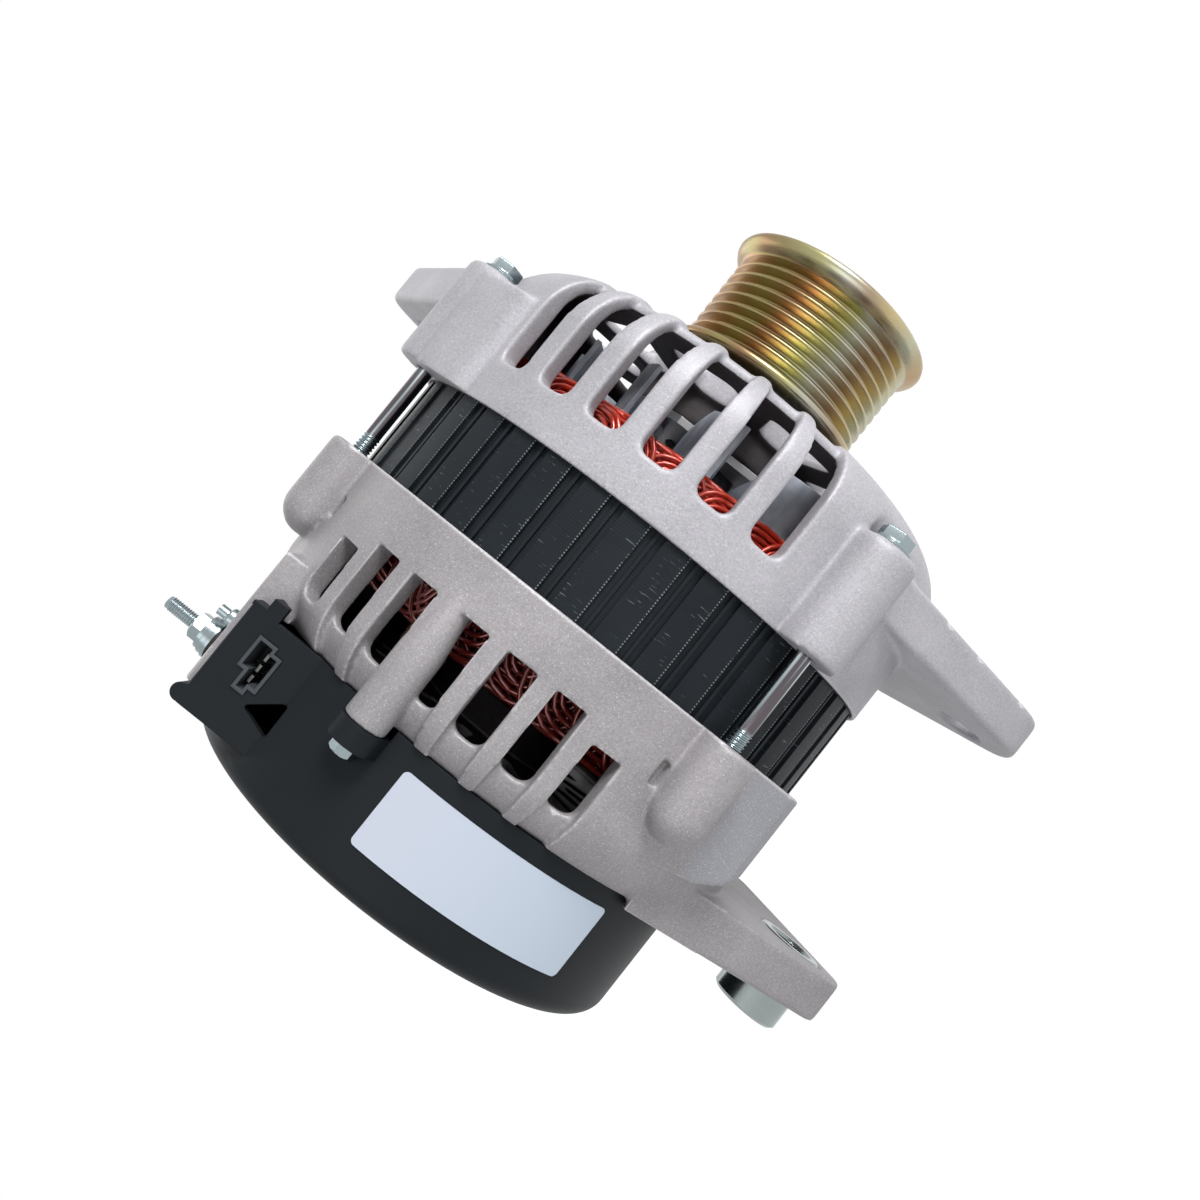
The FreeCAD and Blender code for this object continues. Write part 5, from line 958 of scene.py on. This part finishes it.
def add_hexagon(bm, across_flats, low, high, corner):
    """Adds an upright hexagon with its top rim bevelled."""
    across_corners = 2 * across_flats / math.sqrt(3)
    made = bmesh.ops.create_cone(bm, cap_ends=True, segments=6, radius1=across_corners / 2,
                                 radius2=across_corners / 2, depth=high - low,
                                 matrix=Matrix.Translation((0, 0, (low + high) / 2)))
    rim = {e for v in made["verts"] for e in v.link_edges if min(p.co.z for p in e.verts) > high - LEVEL}
    bmesh.ops.bevel(bm, geom=list(rim), affect="EDGES", offset=corner, segments=3, profile=0.5, material=-1)


def one_bolt():
    """A bolt drawn upright at the origin, its parts set into one another."""
    bm = bmesh.new()
    add_thread(bm, BOLT_THREAD_R, BOLT_PITCH, BOLT_LOW + 1, BOLT_THREAD_TOP)
    add_rod(bm, BOLT_CORE_R, BOLT_LOW, BOLT_THREAD_TOP)
    add_rod(bm, BOLT_R, BOLT_THREAD_TOP - 0.5, BOLT_FLANGE_LOW + 0.2, bevel=0.15)
    add_rod(bm, BOLT_FLANGE_R, BOLT_FLANGE_LOW, BOLT_FLANGE_TOP, bevel=0.25)
    add_hexagon(bm, BOLT_AF, BOLT_FLANGE_TOP - 0.1, BOLT_HEAD_TOP, BOLT_CORNER)
    mesh = bpy.data.meshes.new("bolt_draft")
    bm.to_mesh(mesh)
    bm.free()
    return mesh


def all_bolts():
    """The same bolt at each place of the bolt circle."""
    bm = bmesh.new()
    bolt = one_bolt()
    for angle in BOLT_ANGLES:
        placed = bolt.copy()
        placed.transform(drawn_at(BOLT_CIRCLE, angle))
        bm.from_mesh(placed)
    return mesh_of("clamp_bolts", bm)


# The bolt shanks carry painted reflections of the stator and the lamps.
bolt_zinc = bar_with_painted_reflections("zinc_with_painted_reflections", (0.36, 0.43, 0.45), (0.12, 0.105, 0.115), (5.0, 58.0))
link_piece("clamp_bolts", all_bolts(), bolt_zinc, "through_bolts")

# %% [markdown]
# ## The output stud
# A threaded stud carries the charging cable. It points up, away from the ears, so its drawing is turned
# from the rotor's direction before it goes to its place.

# %%
STUD_X = -39.0
STUD_ALONG = -60.5
STUD_R = 2.0
STUD_PITCH = 0.7
STUD_DEPTH = 0.3
STUD_HEAD_R = 4.2
STUD_HEAD_LONG = 3.0
STUD_THREAD_LOW = 68.0


def output_stud():
    """A stud between the ends of its solid, with its thread above the nut."""
    low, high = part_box("output_stud")
    root, tip = low.z / MM, high.z / MM
    bm = bmesh.new()
    add_rod(bm, STUD_HEAD_R, root, root + STUD_HEAD_LONG, bevel=0.3)
    add_rod(bm, STUD_R - 0.8 * STUD_DEPTH, root + 1, tip, bevel=0.3)
    add_rod(bm, STUD_R, root + 1, STUD_THREAD_LOW + STUD_PITCH)
    add_thread(bm, STUD_R, STUD_PITCH, STUD_THREAD_LOW, tip - 0.35, depth=STUD_DEPTH)
    bm.transform(Matrix.Translation((STUD_X, 0, STUD_ALONG)) @ QUARTER_TURN.transposed())
    return mesh_of("charging_stud", bm)


link_piece("charging_stud", output_stud(), zinc, "output_stud")

# %% [markdown]
# ## The brush springs
# Each carbon brush slides in a tunnel, and a coil spring holds it on its slip ring. The solid of a spring
# is rigid, so each is wound again here: a small circle spun round an axis that it climbs along.

# %%
SPRING_ANGLE = 150.0
SPRING_START = 22.25
SPRING_END = 34.5
SPRING_COIL_R = 1.9
SPRING_WIRE_R = 0.3
SPRING_TURNS = 5


def wind_spring(name, node):
    """Winds one spring where its solid is."""
    low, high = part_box(node)
    middle = BELT_HEIGHT - (low.y + high.y) / 2 / MM
    bm = bmesh.new()
    foot = SPRING_START + SPRING_WIRE_R
    wire = bmesh.ops.create_circle(bm, radius=SPRING_WIRE_R, segments=10,
                                   matrix=Matrix.Translation((SPRING_COIL_R, 0, foot)) @ QUARTER_TURN)
    steps = TURN_STEPS * SPRING_TURNS
    climb = (SPRING_END - SPRING_START - 2 * SPRING_WIRE_R) / steps
    bmesh.ops.spin(bm, geom=wire["verts"] + bm.edges[:], cent=(0, 0, 0), axis=(0, 0, 1), dvec=(0, 0, climb),
                   angle=math.radians(360) * SPRING_TURNS, steps=steps, use_merge=False)
    bmesh.ops.holes_fill(bm, edges=bm.edges[:], sides=0)
    lying = Matrix.Rotation(math.radians(SPRING_ANGLE), 4, "Z") @ Matrix.Rotation(math.radians(90), 4, "Y")
    bm.transform(Matrix.Translation((0, 0, middle)) @ lying)
    spring = link_piece(name, mesh_of(name, bm), spring_wire, node)
    stop = around(SPRING_END, SPRING_ANGLE, middle)
    outwards = stop - around(SPRING_START, SPRING_ANGLE, middle)
    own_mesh(spring)


wind_spring("inner_brush_coil", "inner_brush_spring")
wind_spring("outer_brush_coil", "outer_brush_spring")
